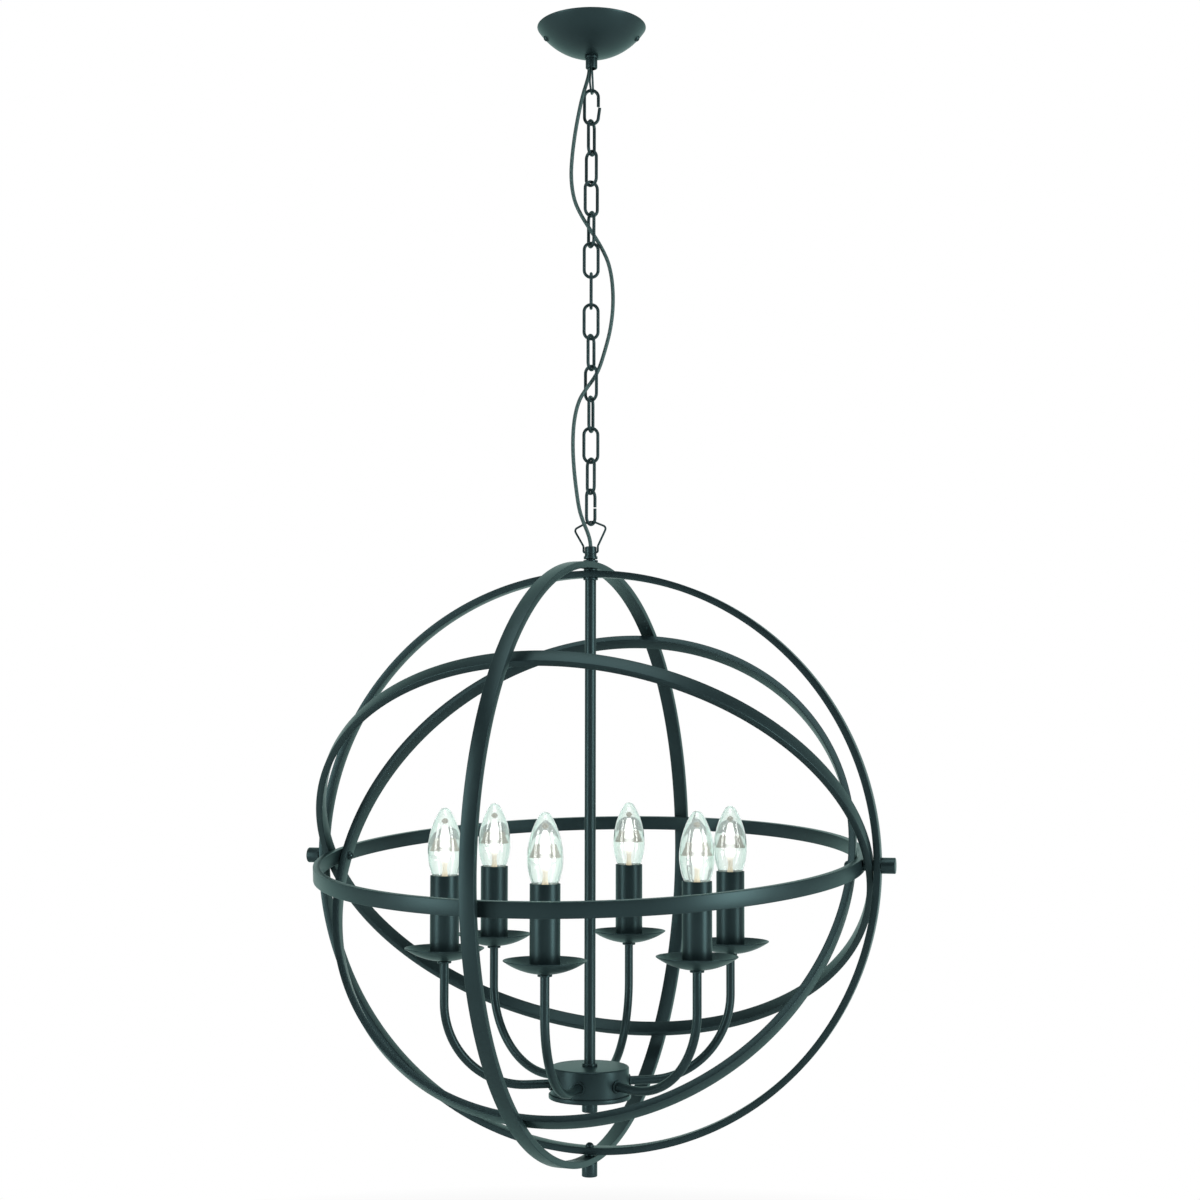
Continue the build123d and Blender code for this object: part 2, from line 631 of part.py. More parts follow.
def arm(angle):
    """One bent tube from the hub to a lampholder."""
    path = arm_path(arm_start_r, arm_end_z)
    return Rot(0, 0, angle) * (swept(path, arm_d) - swept(path, arm_bore_d))


def arm_fittings():
    """A collar outside the hub and a nut inside it on each arm."""
    fittings = []
    for angle in lamp_angles():
        outside = hub_d / 2 + seat_gap
        inside = sqrt((hub_d / 2 - hub_wall) ** 2 - (arm_nut_af / sqrt(3)) ** 2) - seat_gap
        bore = arm_d + 2 * fit_gap
        place = Rot(0, 0, angle) * Pos(0, 0, arm_z) * Rot(0, 90, 0)
        fittings.append(place * tube(arm_collar_d, bore, outside, outside + arm_collar_h))
        fittings.append(place * hex_nut(arm_nut_af, bore, inside - arm_nut_h, inside))
    return fittings


def cup():
    """The shallow spun dish under a lamp."""
    centre = Pos(0, 0, cup_z + cup_r)
    bowl = centre * Sphere(cup_r) - centre * Sphere(cup_r - cup_wall)
    bowl &= Pos(0, 0, cup_z) * Box(2 * cup_d, 2 * cup_d, 2 * cup_depth)
    return bowl - rod(arm_d + 2 * fit_gap, cup_z - cup_depth, cup_z + cup_depth)


def cup_nut():
    """The round nut under a cup."""
    high = cup_z - seat_gap
    return tube(cup_nut_d, arm_d + 2 * fit_gap, high - cup_nut_h, high)


def sleeve():
    """The plain candle tube that stands in the cup round the lampholder."""
    low = cup_z + cup_wall + sphere_rise(cup_r - cup_wall, sleeve_d / 2) + seat_gap
    return tube(sleeve_d, sleeve_d - 2 * sleeve_wall, low, sleeve_top_z)


def lampholder():
    """The holder inside the sleeve, screwed on the arm, with the bulb's socket in its top."""
    body_r = sleeve_d / 2 - sleeve_wall - holder_gap
    foot_top = holder_seat_z + holder_foot_h
    body_low = holder_top_z - holder_body_h
    outline = [(0, holder_seat_z), (holder_foot_d / 2, holder_seat_z), (holder_foot_d / 2, foot_top),
               (holder_neck_d / 2, foot_top), (holder_neck_d / 2, body_low - holder_cone_h),
               (body_r, body_low), (body_r, holder_top_z), (0, holder_top_z)]
    holder = turned(outline)
    holder -= rod(cap_d + 2 * fit_gap, holder_top_z - holder_socket_h, holder_top_z + 1)
    return holder - rod(arm_d + 2 * fit_gap, holder_seat_z - 1, arm_end_z + end_gap)


def bulb_outline(inset):
    """Half outline of the candle glass at a depth inside its outer surface, as a closed wire."""
    upper_r = bulb_upper_r - inset
    lower_r = bulb_lower_r - inset
    tip_r = bulb_tip_r - inset
    widest = bulb_d / 2 - inset
    upper_centre = bulb_d / 2 - bulb_upper_r
    lean = acos(-upper_centre / (bulb_upper_r - bulb_tip_r))
    tip_centre_z = belly_z + (bulb_upper_r - bulb_tip_r) * sin(lean)
    joint = (upper_centre + upper_r * cos(lean), belly_z + upper_r * sin(lean))
    tip_mid = (tip_r * cos((lean + radians(90)) / 2), tip_centre_z + tip_r * sin((lean + radians(90)) / 2))
    flank_mid = (upper_centre + upper_r * cos(lean / 2), belly_z + upper_r * sin(lean / 2))
    lower_centre = bulb_d / 2 - bulb_lower_r
    drop = asin((belly_z - neck_z) / lower_r)
    low = (lower_centre + lower_r * cos(drop), neck_z)
    low_mid = (lower_centre + lower_r * cos(drop / 2), belly_z - lower_r * sin(drop / 2))
    tip = (0, tip_centre_z + tip_r)
    edges = [ThreePointArc(low, low_mid, (widest, belly_z)),
             ThreePointArc((widest, belly_z), flank_mid, joint),
             ThreePointArc(joint, tip_mid, tip),
             Line(tip, (0, neck_z)), Line((0, neck_z), low)]
    return make_face([Plane.XZ * edge for edge in edges])


def bulb():
    """A clear candle bulb: glass, screw cap and the light guide inside."""
    glass = revolve(bulb_outline(0), Axis.Z) - revolve(bulb_outline(bulb_glass), Axis.Z)
    plug_r = neck_r - bulb_glass - cap_plug_gap
    cap_top = neck_z - seat_gap
    cap_low = cap_top - cap_length
    cap = rod(cap_d, cap_low, cap_top)
    cap += rod(2 * plug_r, cap_top, neck_z + cap_plug_h)
    cap += Pos(0, 0, cap_low - cap_tip_h / 2) * Cone(cap_tip_d / 4, cap_tip_d / 2, cap_tip_h)
    base = neck_z + cap_plug_h + seat_gap
    guide = turned([(0, base), (guide_post_r, base), (guide_post_r, neck_z + guide_post_rise),
                    (guide_rim_r, neck_z + guide_rim_rise), (guide_top_r, neck_z + guide_top_rise),
                    (0, neck_z + guide_top_rise)])
    return [glass, cap, guide]


def inner_leads():
    """Leads inside the stem and inside each arm."""
    connector_low = hub_top_z - hub_wall - connector_size[2]
    leads = [rod(lead_d, connector_low, hanger_seat_z + stem_grip)]
    path = arm_path(arm_start_r - lead_d, arm_end_z)
    for angle in lamp_angles():
        leads.append(Rot(0, 0, angle) * swept(path, lead_d))
    return leads


# ---------------------------------------------------------------- write the parts
def main():
    """Write every sub-part to parts/."""
    os.makedirs("parts", exist_ok=True)
    save("canopy_cover", canopy_cover())
    save("ceiling_bracket", ceiling_bracket())
    save("canopy_screws", canopy_screws())
    save("canopy_collar", loop_collar(-canopy_depth, top_bail_turn, True))
    save("canopy_nut", canopy_nut())
    save("canopy_bush", bush(top_bush_z, -canopy_depth - collar_flange_h - collar_web))
    save("terminal_block", terminal_block())
    save("canopy_lead", canopy_lead())
    save("power_cord", power_cord())
    save("top_bail", bail(top_pivot_z, False, top_bail_turn))
    for number in range(link_count):
        save(f"chain_link_{number + 1:02d}", chain_link(number))
    save("hanger_bail", bail(hanger_pivot_z, True, hanger_bail_turn))
    save("hanger_collar", loop_collar(hanger_seat_z, hanger_bail_turn, False))
    save("stem_bush", bush(hanger_bush_z, hanger_seat_z + stem_grip + face_gap))
    save("top_nuts", *top_nuts())
    save("meridian_hoop", meridian_hoop())
    save("cross_hoop", cross_hoop())
    save("outer_hoop", hoop(outer_along, outer_across, outer_tilt, pivot_hole_d))
    save("middle_hoop", hoop(middle_along, middle_across, middle_tilt, pivot_hole_d))
    save("inner_hoop", hoop(inner_along, inner_across, inner_tilt, pivot_hole_d))
    save("knobs", *knobs())
    save("pivot_screws", *pivot_screws())
    save("pivot_spacers", *pivot_spacers())
    save("stem", stem())
    save("stem_lock_ring", stem_lock_ring())
    save("hub_body", hub_body())
    save("hub_cover", hub_cover())
    save("hub_finial", hub_finial())
    save("hub_connector", hub_connector())
    save("inner_leads", *inner_leads())
    save("arm_fittings", *arm_fittings())
    save("cups", *[at_lamp(angle, cup()) for angle in lamp_angles()])
    save("cup_nuts", *[at_lamp(angle, cup_nut()) for angle in lamp_angles()])
    save("sleeves", *[at_lamp(angle, sleeve()) for angle in lamp_angles()])
    save("lampholders", *[at_lamp(angle, lampholder()) for angle in lamp_angles()])
    for number, angle in enumerate(lamp_angles(), 1):
        save(f"arm_{number}", arm(angle))
        save(f"bulb_{number}", *[at_lamp(angle, piece) for piece in bulb()])
    print(f"orb centre at {orb_z:.2f}, first link {first_link_z:.2f}, last link {last_link_z:.2f}")


main()
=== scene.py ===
# %% [markdown]
# # Dressing an orb chandelier
#
# The chandelier is an open sphere of five flat metal hoops. It hangs on a chain from a domed canopy, and
# six candle lamps stand inside it. Every metal part has one satin slate paint. This lesson loads the
# built part as a fixed frame, and then makes each visible piece again with soft edges, smooth curves and
# a finish of its own. Lengths are in metres, and everything stays where the frame has it.

import math

import bpy
from mathutils import Matrix, Vector


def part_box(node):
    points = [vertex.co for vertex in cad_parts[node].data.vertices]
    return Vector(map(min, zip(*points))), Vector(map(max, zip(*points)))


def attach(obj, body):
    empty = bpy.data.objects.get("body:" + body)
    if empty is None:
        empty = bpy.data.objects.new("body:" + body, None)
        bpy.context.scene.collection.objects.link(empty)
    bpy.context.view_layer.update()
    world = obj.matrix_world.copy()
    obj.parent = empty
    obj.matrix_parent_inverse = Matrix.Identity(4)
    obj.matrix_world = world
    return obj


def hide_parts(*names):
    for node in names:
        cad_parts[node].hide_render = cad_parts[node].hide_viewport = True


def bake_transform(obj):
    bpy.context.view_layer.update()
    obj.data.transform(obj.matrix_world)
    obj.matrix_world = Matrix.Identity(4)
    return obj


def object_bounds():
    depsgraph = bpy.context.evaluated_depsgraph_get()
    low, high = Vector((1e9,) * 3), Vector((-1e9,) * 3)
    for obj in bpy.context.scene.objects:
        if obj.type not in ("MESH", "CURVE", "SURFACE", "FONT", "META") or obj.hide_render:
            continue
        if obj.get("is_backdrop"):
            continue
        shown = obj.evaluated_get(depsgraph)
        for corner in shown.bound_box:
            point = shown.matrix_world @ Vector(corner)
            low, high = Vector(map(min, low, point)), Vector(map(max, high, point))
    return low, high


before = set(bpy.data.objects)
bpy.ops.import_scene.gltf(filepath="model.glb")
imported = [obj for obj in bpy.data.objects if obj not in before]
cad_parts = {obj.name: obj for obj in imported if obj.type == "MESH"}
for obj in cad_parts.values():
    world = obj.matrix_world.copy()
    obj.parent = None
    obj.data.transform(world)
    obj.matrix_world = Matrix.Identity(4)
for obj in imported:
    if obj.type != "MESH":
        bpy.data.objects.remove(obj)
cad_low, cad_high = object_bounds()
print("the frame is", [round(size, 4) for size in cad_high - cad_low], "metres")

# %% [markdown]
# ## Where the main places are
#
# The frame's boxes give the places that everything else is measured from, so nothing has to be fitted by
# eye. The orb's centre is the middle of the fixed hoop. "Right" is the camera's right, which is also the
# direction of the canopy's two screws.

# %% Main places
MM = 0.001
ORIGIN = Vector((0, 0, 0))
UP = Vector((0, 0, 1))


def middle(node):
    """The middle of a node's box."""
    low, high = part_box(node)
    return (low + high) / 2


orb = Vector((0, 0, middle("meridian_hoop").z))
canopy_turn = math.radians(15.4)
right = Vector((math.cos(canopy_turn), math.sin(canopy_turn), 0))
behind = Vector((-math.sin(canopy_turn), math.cos(canopy_turn), 0))
hub_low, hub_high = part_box("hub_body")
lamp_circle = 151.75 * MM
lamp_phase = math.radians(28.9)
lamp_count = 6
print("orb centre", round(orb.z, 4), "hub top", round(hub_high.z, 4))

# %% [markdown]
# ## The camera
#
# The photograph was taken from two metres away, a little above the orb's middle, 15.4 degrees round from
# the hoops' side pivots, and the lens was level but shifted. A camera takes such a view with its shift,
# which moves the frame over the picture without turning the lens.

# %% Camera
camera_turn = math.radians(15.405)
camera_tilt = math.radians(2.657)
camera_roll = math.radians(0.101)
camera_distance = 1.99337
camera_rise = 0.1233
sensor_width = 36.0
image_size = 1200
focal_pixels = 1919.56
middle_right_of_axis = 9.52
middle_above_axis = 51.69

bpy.ops.object.select_all(action="DESELECT")
bpy.ops.object.camera_add()
camera = bpy.context.object
camera.name = "photograph_view"
camera.data.sensor_width = sensor_width
camera.data.lens = focal_pixels / image_size * sensor_width
camera.data.shift_x = middle_right_of_axis / image_size
camera.data.shift_y = middle_above_axis / image_size
camera.data.dof.use_dof = False
spot = Vector((math.sin(camera_turn), -math.cos(camera_turn), 0)) * camera_distance
aim = (Matrix.Rotation(camera_turn, 4, "Z") @ Matrix.Rotation(math.pi / 2 + camera_tilt, 4, "X")
       @ Matrix.Rotation(camera_roll, 4, "Z"))
camera.matrix_world = Matrix.Translation(spot + Vector((0, 0, orb.z + camera_rise))) @ aim
bpy.context.scene.camera = camera
print("camera at", [round(x, 3) for x in camera.location], "lens", round(camera.data.lens, 2))

# %% [markdown]
# ## Helpers for modelling
#
# Most pieces of a lamp are turned on a lathe or bent from wire. A turned piece is drawn as half of its
# outline, one vertex extruded from point to point, and then spun round its axis. A bent wire is a curve
# with a round bevel, converted to a mesh. Both leave the finished object at the origin.


# %% Selecting and finishing
def deselect():
    """Leave edit mode with nothing selected."""
    if bpy.context.object and bpy.context.object.mode != "OBJECT":
        bpy.ops.object.mode_set(mode="OBJECT")
    bpy.ops.object.select_all(action="DESELECT")


def pick(piece):
    """Make one object the selected and active one."""
    deselect()
    piece.select_set(True)
    bpy.context.view_layer.objects.active = piece


def finish(piece, name, finish_material, body, nodes=(), soft_angle=35):
    """Name, shade, paint and attach a finished piece."""
    pick(piece)
    bpy.ops.object.shade_smooth_by_angle(angle=math.radians(soft_angle))
    piece.name = name
    piece.data.name = name
    piece.data.materials.clear()
    piece.data.materials.append(finish_material)
    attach(piece, body)
    if nodes:
        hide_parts(*nodes)
    return piece


def place(piece, matrix):
    """Move the mesh itself, so that the object stays at the origin."""
    piece.data.transform(matrix)
    return piece


def copy_of(piece):
    """A second object with a mesh of its own."""
    twin = piece.copy()
    twin.data = piece.data.copy()
    bpy.context.scene.collection.objects.link(twin)
    return twin


# %% Turning on the lathe
def rounded(corners, steps=4):
    """Points of an outline whose corners (x, z, radius) are rounded by arcs."""
    points = []
    count = len(corners)
    for index, (x, z, radius) in enumerate(corners):
        here = Vector((x, z))
        if radius <= 0 or index in (0, count - 1):
            points.append((x, z))
            continue
        before = (Vector(corners[index - 1][:2]) - here).normalized()
        after = (Vector(corners[index + 1][:2]) - here).normalized()
        half = before.angle(after) / 2
        centre = here + (before + after).normalized() * (radius / math.sin(half))
        start = here + before * (radius / math.tan(half)) - centre
        end = here + after * (radius / math.tan(half)) - centre
        sweep = start.angle_signed(end)
        for step in range(steps + 1):
            spoke = start.copy()
            spoke.rotate(Matrix.Rotation(-sweep * step / steps, 2))
            points.append(tuple(centre + spoke))
    return points


def arc(centre, radius, start, end, steps):
    """Points on an arc of an outline, between two angles in degrees from +x towards +z."""
    turns = [math.radians(start + (end - start) * step / steps) for step in range(steps + 1)]
    return [(centre[0] + radius * math.cos(turn), centre[1] + radius * math.sin(turn)) for turn in turns]


def lathe(outline, steps=96):
    """A piece turned about +Z from an outline of (radius, height) points."""
    deselect()
    bpy.ops.mesh.primitive_plane_add(size=MM)
    piece = bpy.context.object
    bpy.ops.object.mode_set(mode="EDIT")
    bpy.ops.mesh.merge(type="CENTER")
    bpy.ops.transform.translate(value=(outline[0][0], 0, outline[0][1]))
    for (r0, z0), (r1, z1) in zip(outline, outline[1:]):
        bpy.ops.mesh.extrude_region_move(TRANSFORM_OT_translate={"value": (r1 - r0, 0, z1 - z0)})
    bpy.ops.mesh.select_all(action="SELECT")
    bpy.ops.mesh.spin(steps=steps, angle=2 * math.pi, center=ORIGIN, axis=UP)
    bpy.ops.mesh.select_all(action="SELECT")
    bpy.ops.mesh.remove_doubles(threshold=MM / 200)
    bpy.ops.mesh.delete_loose(use_verts=True, use_edges=True, use_faces=False)
    bpy.ops.mesh.select_all(action="SELECT")
    bpy.ops.mesh.normals_make_consistent(inside=False)
    bpy.ops.object.mode_set(mode="OBJECT")
    return piece


def ring_outline(inner, outer, low, high, edge):
    """Closed half outline of a washer or tube with rounded edges."""
    middle_z = (low + high) / 2
    corners = [(inner, middle_z, 0), (inner, low, edge), (outer, low, edge), (outer, high, edge),
               (inner, high, edge), (inner, middle_z, 0)]
    return rounded(corners)


# %% Bending wire
def wire(points, diameter, closed=False, sides=6):
    """A round wire through the points, made from a bevelled curve."""
    deselect()
    data = bpy.data.curves.new("wire", "CURVE")
    data.dimensions = "3D"
    data.bevel_depth = diameter / 2
    data.bevel_resolution = sides
    data.use_fill_caps = not closed
    line = data.splines.new("POLY")
    line.points.add(len(points) - 1)
    for spot_on_line, point in zip(line.points, points):
        spot_on_line.co = (*point, 1)
    line.use_cyclic_u = closed
    piece = bpy.data.objects.new("wire", data)
    bpy.context.scene.collection.objects.link(piece)
    pick(piece)
    bpy.ops.object.convert(target="MESH")
    piece = bpy.context.object
    bpy.ops.object.mode_set(mode="EDIT")
    bpy.ops.mesh.select_all(action="SELECT")
    bpy.ops.mesh.remove_doubles(threshold=MM / 500)
    bpy.ops.mesh.normals_make_consistent(inside=False)
    bpy.ops.object.mode_set(mode="OBJECT")
    return piece


# %% [markdown]
# ## Finishes
#
# The metal has a satin powder coat: a dark green slate with a slightly metallic lustre, so its highlights
# are green too. Close up such a coat has a very fine orange peel. One node group makes the fine grain that
# most finishes share, and each finish sets it with its own values.


# %% Node group: fine grain
def new_group(name, inputs, outputs):
    """An empty node group with named sockets."""
    group = bpy.data.node_groups.new(name, "ShaderNodeTree")
    for socket, kind, value in inputs:
        made = group.interface.new_socket(socket, in_out="INPUT", socket_type=kind)
        made.default_value = value
    for socket, kind in outputs:
        group.interface.new_socket(socket, in_out="OUTPUT", socket_type=kind)
    return group, group.nodes.new("NodeGroupInput"), group.nodes.new("NodeGroupOutput")


def math_node(group, operation, first, second):
    """A math node between two sockets or numbers."""
    node = group.nodes.new("ShaderNodeMath")
    node.operation = operation
    for socket, value in zip(node.inputs, (first, second)):
        if isinstance(value, (int, float)):
            socket.default_value = value
        else:
            group.links.new(value, socket)
    return node.outputs[0]


def make_grain():
    """Fine grain for height, and broad soft clouds for tone and roughness."""
    group, given, made = new_group(
        "fine_grain",
        [("Grain Size", "NodeSocketFloat", 0.0006), ("Cloud Size", "NodeSocketFloat", 0.05),
         ("Roughness", "NodeSocketFloat", 0.4), ("Roughness Spread", "NodeSocketFloat", 0.05)],
        [("Height", "NodeSocketFloat"), ("Tone", "NodeSocketFloat"), ("Roughness", "NodeSocketFloat")])
    place_on = group.nodes.new("ShaderNodeTexCoord").outputs["Object"]
    noises = []
    for size in ("Grain Size", "Cloud Size"):
        noise = group.nodes.new("ShaderNodeTexNoise")
        group.links.new(place_on, noise.inputs["Vector"])
        group.links.new(math_node(group, "DIVIDE", 1.0, given.outputs[size]), noise.inputs["Scale"])
        noise.inputs["Detail"].default_value = 3.0
        noises.append(noise.outputs["Fac"])
    group.links.new(noises[0], made.inputs["Height"])
    group.links.new(noises[1], made.inputs["Tone"])
    swing = math_node(group, "MULTIPLY", math_node(group, "SUBTRACT", noises[1], 0.5),
                      given.outputs["Roughness Spread"])
    group.links.new(math_node(group, "ADD", given.outputs["Roughness"], swing), made.inputs["Roughness"])
    return group


grain_group = make_grain()
print("node group", grain_group.name)


# %% Materials from the grain
def principled(name):
    """A new material and its main shader."""
    material = bpy.data.materials.new(name)
    material.use_nodes = True
    return material, material.node_tree, material.node_tree.nodes["Principled BSDF"]


def settings(node, **values):
    """Set a node's sockets by name, with _ for a space."""
    for socket, value in values.items():
        node.inputs[socket.replace("_", " ")].default_value = value


def mixed_colour(tree, factor, first, second):
    """A colour between two colours or sockets."""
    mix = tree.nodes.new("ShaderNodeMix")
    mix.data_type = "RGBA"
    tree.links.new(factor, mix.inputs["Factor"])
    for socket, value in (("A", first), ("B", second)):
        if isinstance(value, tuple):
            mix.inputs[socket].default_value = (*value, 1)
        else:
            tree.links.new(value, mix.inputs[socket])
    return mix.outputs["Result"]


def add_bump(tree, shader, height, strength, distance):
    """Let a height bend the shader's normal."""
    bumps = tree.nodes.new("ShaderNodeBump")
    settings(bumps, Strength=strength, Distance=distance)
    tree.links.new(height, bumps.inputs["Height"])
    tree.links.new(bumps.outputs["Normal"], shader.inputs["Normal"])


def grained(name, dark, light, roughness, spread, grain, bump, cloud=0.05, **fixed):
    """A material whose colour drifts between two tones, with a fine grain in its surface."""
    material, tree, shader = principled(name)
    grains = tree.nodes.new("ShaderNodeGroup")
    grains.node_tree = grain_group
    settings(grains, Grain_Size=grain, Cloud_Size=cloud, Roughness=roughness, Roughness_Spread=spread)
    tree.links.new(mixed_colour(tree, grains.outputs["Tone"], dark, light), shader.inputs["Base Color"])
    tree.links.new(grains.outputs["Roughness"], shader.inputs["Roughness"])
    add_bump(tree, shader, grains.outputs["Height"], bump, grain / 4)
    settings(shader, **fixed)
    return material


slate_paint = grained("satin_slate_paint", (0.013, 0.024, 0.027), (0.020, 0.036, 0.040), roughness=0.38,
                      spread=0.08, grain=0.0007, bump=0.04, Metallic=0.55, Specular_IOR_Level=0.4,
                      Specular_Tint=(0.55, 0.95, 0.86, 1))
zinc = grained("zinc_plate", (0.50, 0.51, 0.52), (0.66, 0.67, 0.68), roughness=0.34, spread=0.2, grain=0.002,
               bump=0.05, cloud=0.006, Metallic=1.0)
brass = grained("turned_brass", (0.62, 0.45, 0.20), (0.72, 0.55, 0.28), roughness=0.3, spread=0.1,
                grain=0.001, bump=0.05, cloud=0.01, Metallic=1.0)
nickel = grained("nickel_plate", (0.62, 0.60, 0.56), (0.72, 0.70, 0.66), roughness=0.24, spread=0.1,
                 grain=0.001, bump=0.04, cloud=0.01, Metallic=1.0)
white_plastic = grained("pale_moulding", (0.74, 0.73, 0.69), (0.80, 0.79, 0.75), roughness=0.45,
                        spread=0.1, grain=0.0008, bump=0.1, cloud=0.02)
dark_plastic = grained("dark_moulding", (0.018, 0.018, 0.018), (0.026, 0.026, 0.026), roughness=0.5,
                       spread=0.1, grain=0.0006, bump=0.12, cloud=0.02)
lead_insulation = grained("lead_jacket", (0.52, 0.52, 0.50), (0.60, 0.60, 0.58), roughness=0.5,
                          spread=0.1, grain=0.0006, bump=0.08, cloud=0.02)
print("finishes:", [material.name for material in bpy.data.materials if material.use_nodes][-7:])

# %% [markdown]
# ## The cord
#
# The mains cord leaves the canopy's collar, hangs beside the chain in two loose waves, goes through two
# links and ends in the collar on the orb. Its route is a short list of points. A NURBS curve through them
# has no corners, as a real cord has none. Because it crosses seventeen joints, the tube along that curve
# is cut into seventeen lengths.

# %% The cord's route
cord_diameter = 4.0 * MM
cord_route = [
    (-2.2, 0.0, -48.5), (-5.0, -2.2, -60.0), (-9.0, -5.4, -74.0),
    (-12.6, -5.8, -90.0), (-16.8, -4.0, -112.0), (-20.2, -1.5, -137.0), (-21.6, 0.0, -161.0),
    (-18.4, 0.5, -184.0), (-10.8, 0.3, -200.5), (-3.0, 0.0, -213.0), (4.2, 1.8, -223.5),
    (11.8, 4.4, -235.5), (18.8, 4.6, -251.0), (22.6, 3.6, -272.0), (23.3, 3.0, -297.0),
    (20.3, 3.2, -322.0), (14.6, 3.6, -343.5), (8.6, 2.6, -363.0), (2.4, 0.7, -374.5),
    (-5.2, -1.9, -385.0), (-13.0, -4.2, -398.0), (-17.8, -5.0, -419.0), (-19.0, -5.2, -444.0),
    (-17.6, -5.8, -470.0), (-14.8, -6.6, -494.0), (-12.0, -7.4, -512.5), (-7.6, -6.0, -525.5),
    (-2.8, -2.2, -536.2), (0.0, 0.0, -546.4)]
cord_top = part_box("canopy_bush")[0].z
cord_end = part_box("stem_bush")[1].z


def beside_chain(x, y, z):
    """A point from its distances to the right, behind and up."""
    return right * x + behind * y + UP * z


route = [beside_chain(x * MM, y * MM, z * MM) for x, y, z in cord_route]
route.insert(0, Vector((route[0].x, route[0].y, cord_top)))
route.append(Vector((route[-1].x, route[-1].y, cord_end)))
print("the cord's route has", len(route), "points")


# %% One smooth line
def smooth_line(points, resolution):
    """Points of a NURBS curve with these control points, as straight short steps."""
    data = bpy.data.curves.new("cord_line", "CURVE")
    data.dimensions = "3D"
    data.resolution_u = resolution
    line = data.splines.new("NURBS")
    line.points.add(len(points) - 1)
    for control, point in zip(line.points, points):
        control.co = (*point, 1)
    line.order_u = 3
    line.use_endpoint_u = True
    holder = bpy.data.objects.new("cord_line", data)
    bpy.context.scene.collection.objects.link(holder)
    bpy.context.view_layer.update()
    mesh = bpy.data.meshes.new_from_object(holder)
    steps = [vertex.co.copy() for vertex in mesh.vertices]
    bpy.data.objects.remove(holder)
    bpy.data.meshes.remove(mesh)
    return steps


line_steps = smooth_line(route, 14)
walked = [0.0]
for before, after in zip(line_steps, line_steps[1:]):
    walked.append(walked[-1] + (after - before).length)
cord_length = walked[-1]
print("the cord is", round(cord_length, 4), "metres long in", len(line_steps), "steps")


# %% The tube round the line
def frames_along(steps):
    """A pair of sideways directions at each step, carried along without twisting."""
    side = behind.copy()
    pairs = []
    for index, here in enumerate(steps):
        ahead = steps[min(index + 1, len(steps) - 1)] - steps[max(index - 1, 0)]
        ahead.normalize()
        side = (side - ahead * side.dot(ahead)).normalized()
        pairs.append((side.copy(), ahead.cross(side)))
    return pairs


def cord_tube(name, steps, pairs, along, sides=24):
    """A closed round tube along part of the line, with a UV map that runs along and round it."""
    vertices, faces = [], []
    for here, (side, other) in zip(steps, pairs):
        for spoke in range(sides):
            turn = 2 * math.pi * spoke / sides
            vertices.append(here + (side * math.cos(turn) + other * math.sin(turn)) * cord_diameter / 2)
    for ring in range(len(steps) - 1):
        for spoke in range(sides):
            nxt = (spoke + 1) % sides
            faces.append((ring * sides + spoke, ring * sides + nxt,
                          (ring + 1) * sides + nxt, (ring + 1) * sides + spoke))
    last = (len(steps) - 1) * sides
    faces.append(tuple(reversed(range(sides))))
    faces.append(tuple(last + spoke for spoke in range(sides)))
    mesh = bpy.data.meshes.new(name)
    mesh.from_pydata(vertices, [], faces)
    uv = mesh.uv_layers.new(name="along_and_round")
    for face in mesh.polygons:
        for loop in face.loop_indices:
            ring, spoke = divmod(mesh.loops[loop].vertex_index, sides)
            wrap = 1.0 if spoke == 0 and face.index % sides == sides - 1 else spoke / sides
            uv.data[loop].uv = (along[ring] / cord_diameter, wrap)
    tube = bpy.data.objects.new(name, mesh)
    bpy.context.scene.collection.objects.link(tube)
    return tube


chain_bodies = (["canopy", "top_bail"] + [f"chain_link_{number:02d}" for number in range(1, 15)]
                + ["hanger_bail", "orb"])
line_frames = frames_along(line_steps)


# %% [markdown]
# The jacket is a dark textile braid laid over the twisted cores, so a slow diagonal lay shows on it. The
# pattern has to follow the cord and not the room, so it reads the tube's own UV map: u counts diameters
# along the cord, and v goes once round it.

# %% Cord jacket
def make_cord_jacket():
    """Twisted, softly ribbed dark jacket, with painted shade darkening the grooves between its ribs."""
    material, tree, shader = principled("twisted_cord_jacket")
    uv = tree.nodes.new("ShaderNodeUVMap")
    uv.uv_map = "along_and_round"
    parts = tree.nodes.new("ShaderNodeSeparateXYZ")
    tree.links.new(uv.outputs["UV"], parts.inputs["Vector"])
    lay_pitch, strands, threads, thread_turns = 0.22, 3, 14, 3.0
    lay_share, braid_share = 0.7, 0.3

    def ribs(turns_along, count):
        slide = math_node(tree, "MULTIPLY", parts.outputs["X"], turns_along)
        spread = math_node(tree, "MULTIPLY", parts.outputs["Y"], float(count))
        wave = math_node(tree, "MULTIPLY", math_node(tree, "ADD", slide, spread), 2 * math.pi)
        half_wave = math_node(tree, "MULTIPLY", math_node(tree, "SINE", wave, 0.0), 0.5)
        return math_node(tree, "ADD", half_wave, 0.5)

    lay = ribs(lay_pitch * strands, strands)
    left_threads = ribs(thread_turns, threads)
    right_threads = ribs(-thread_turns, threads)
    braid = math_node(tree, "MULTIPLY", left_threads, right_threads)
    height = math_node(tree, "ADD", math_node(tree, "MULTIPLY", lay, lay_share),
                       math_node(tree, "MULTIPLY", braid, braid_share))
    # painted shade: the grooves between the lay and braid ribs get a darker colour than the ridges, standing
    # in for shade in them
    painted_groove_shade, ridge = (0.016, 0.030, 0.031), (0.040, 0.070, 0.070)
    tree.links.new(mixed_colour(tree, height, painted_groove_shade, ridge), shader.inputs["Base Color"])
    add_bump(tree, shader, height, 0.5, 0.25 * MM)
    settings(shader, Roughness=0.55, Specular_IOR_Level=0.6, Specular_Tint=(0.6, 1.0, 0.94, 1))
    return material


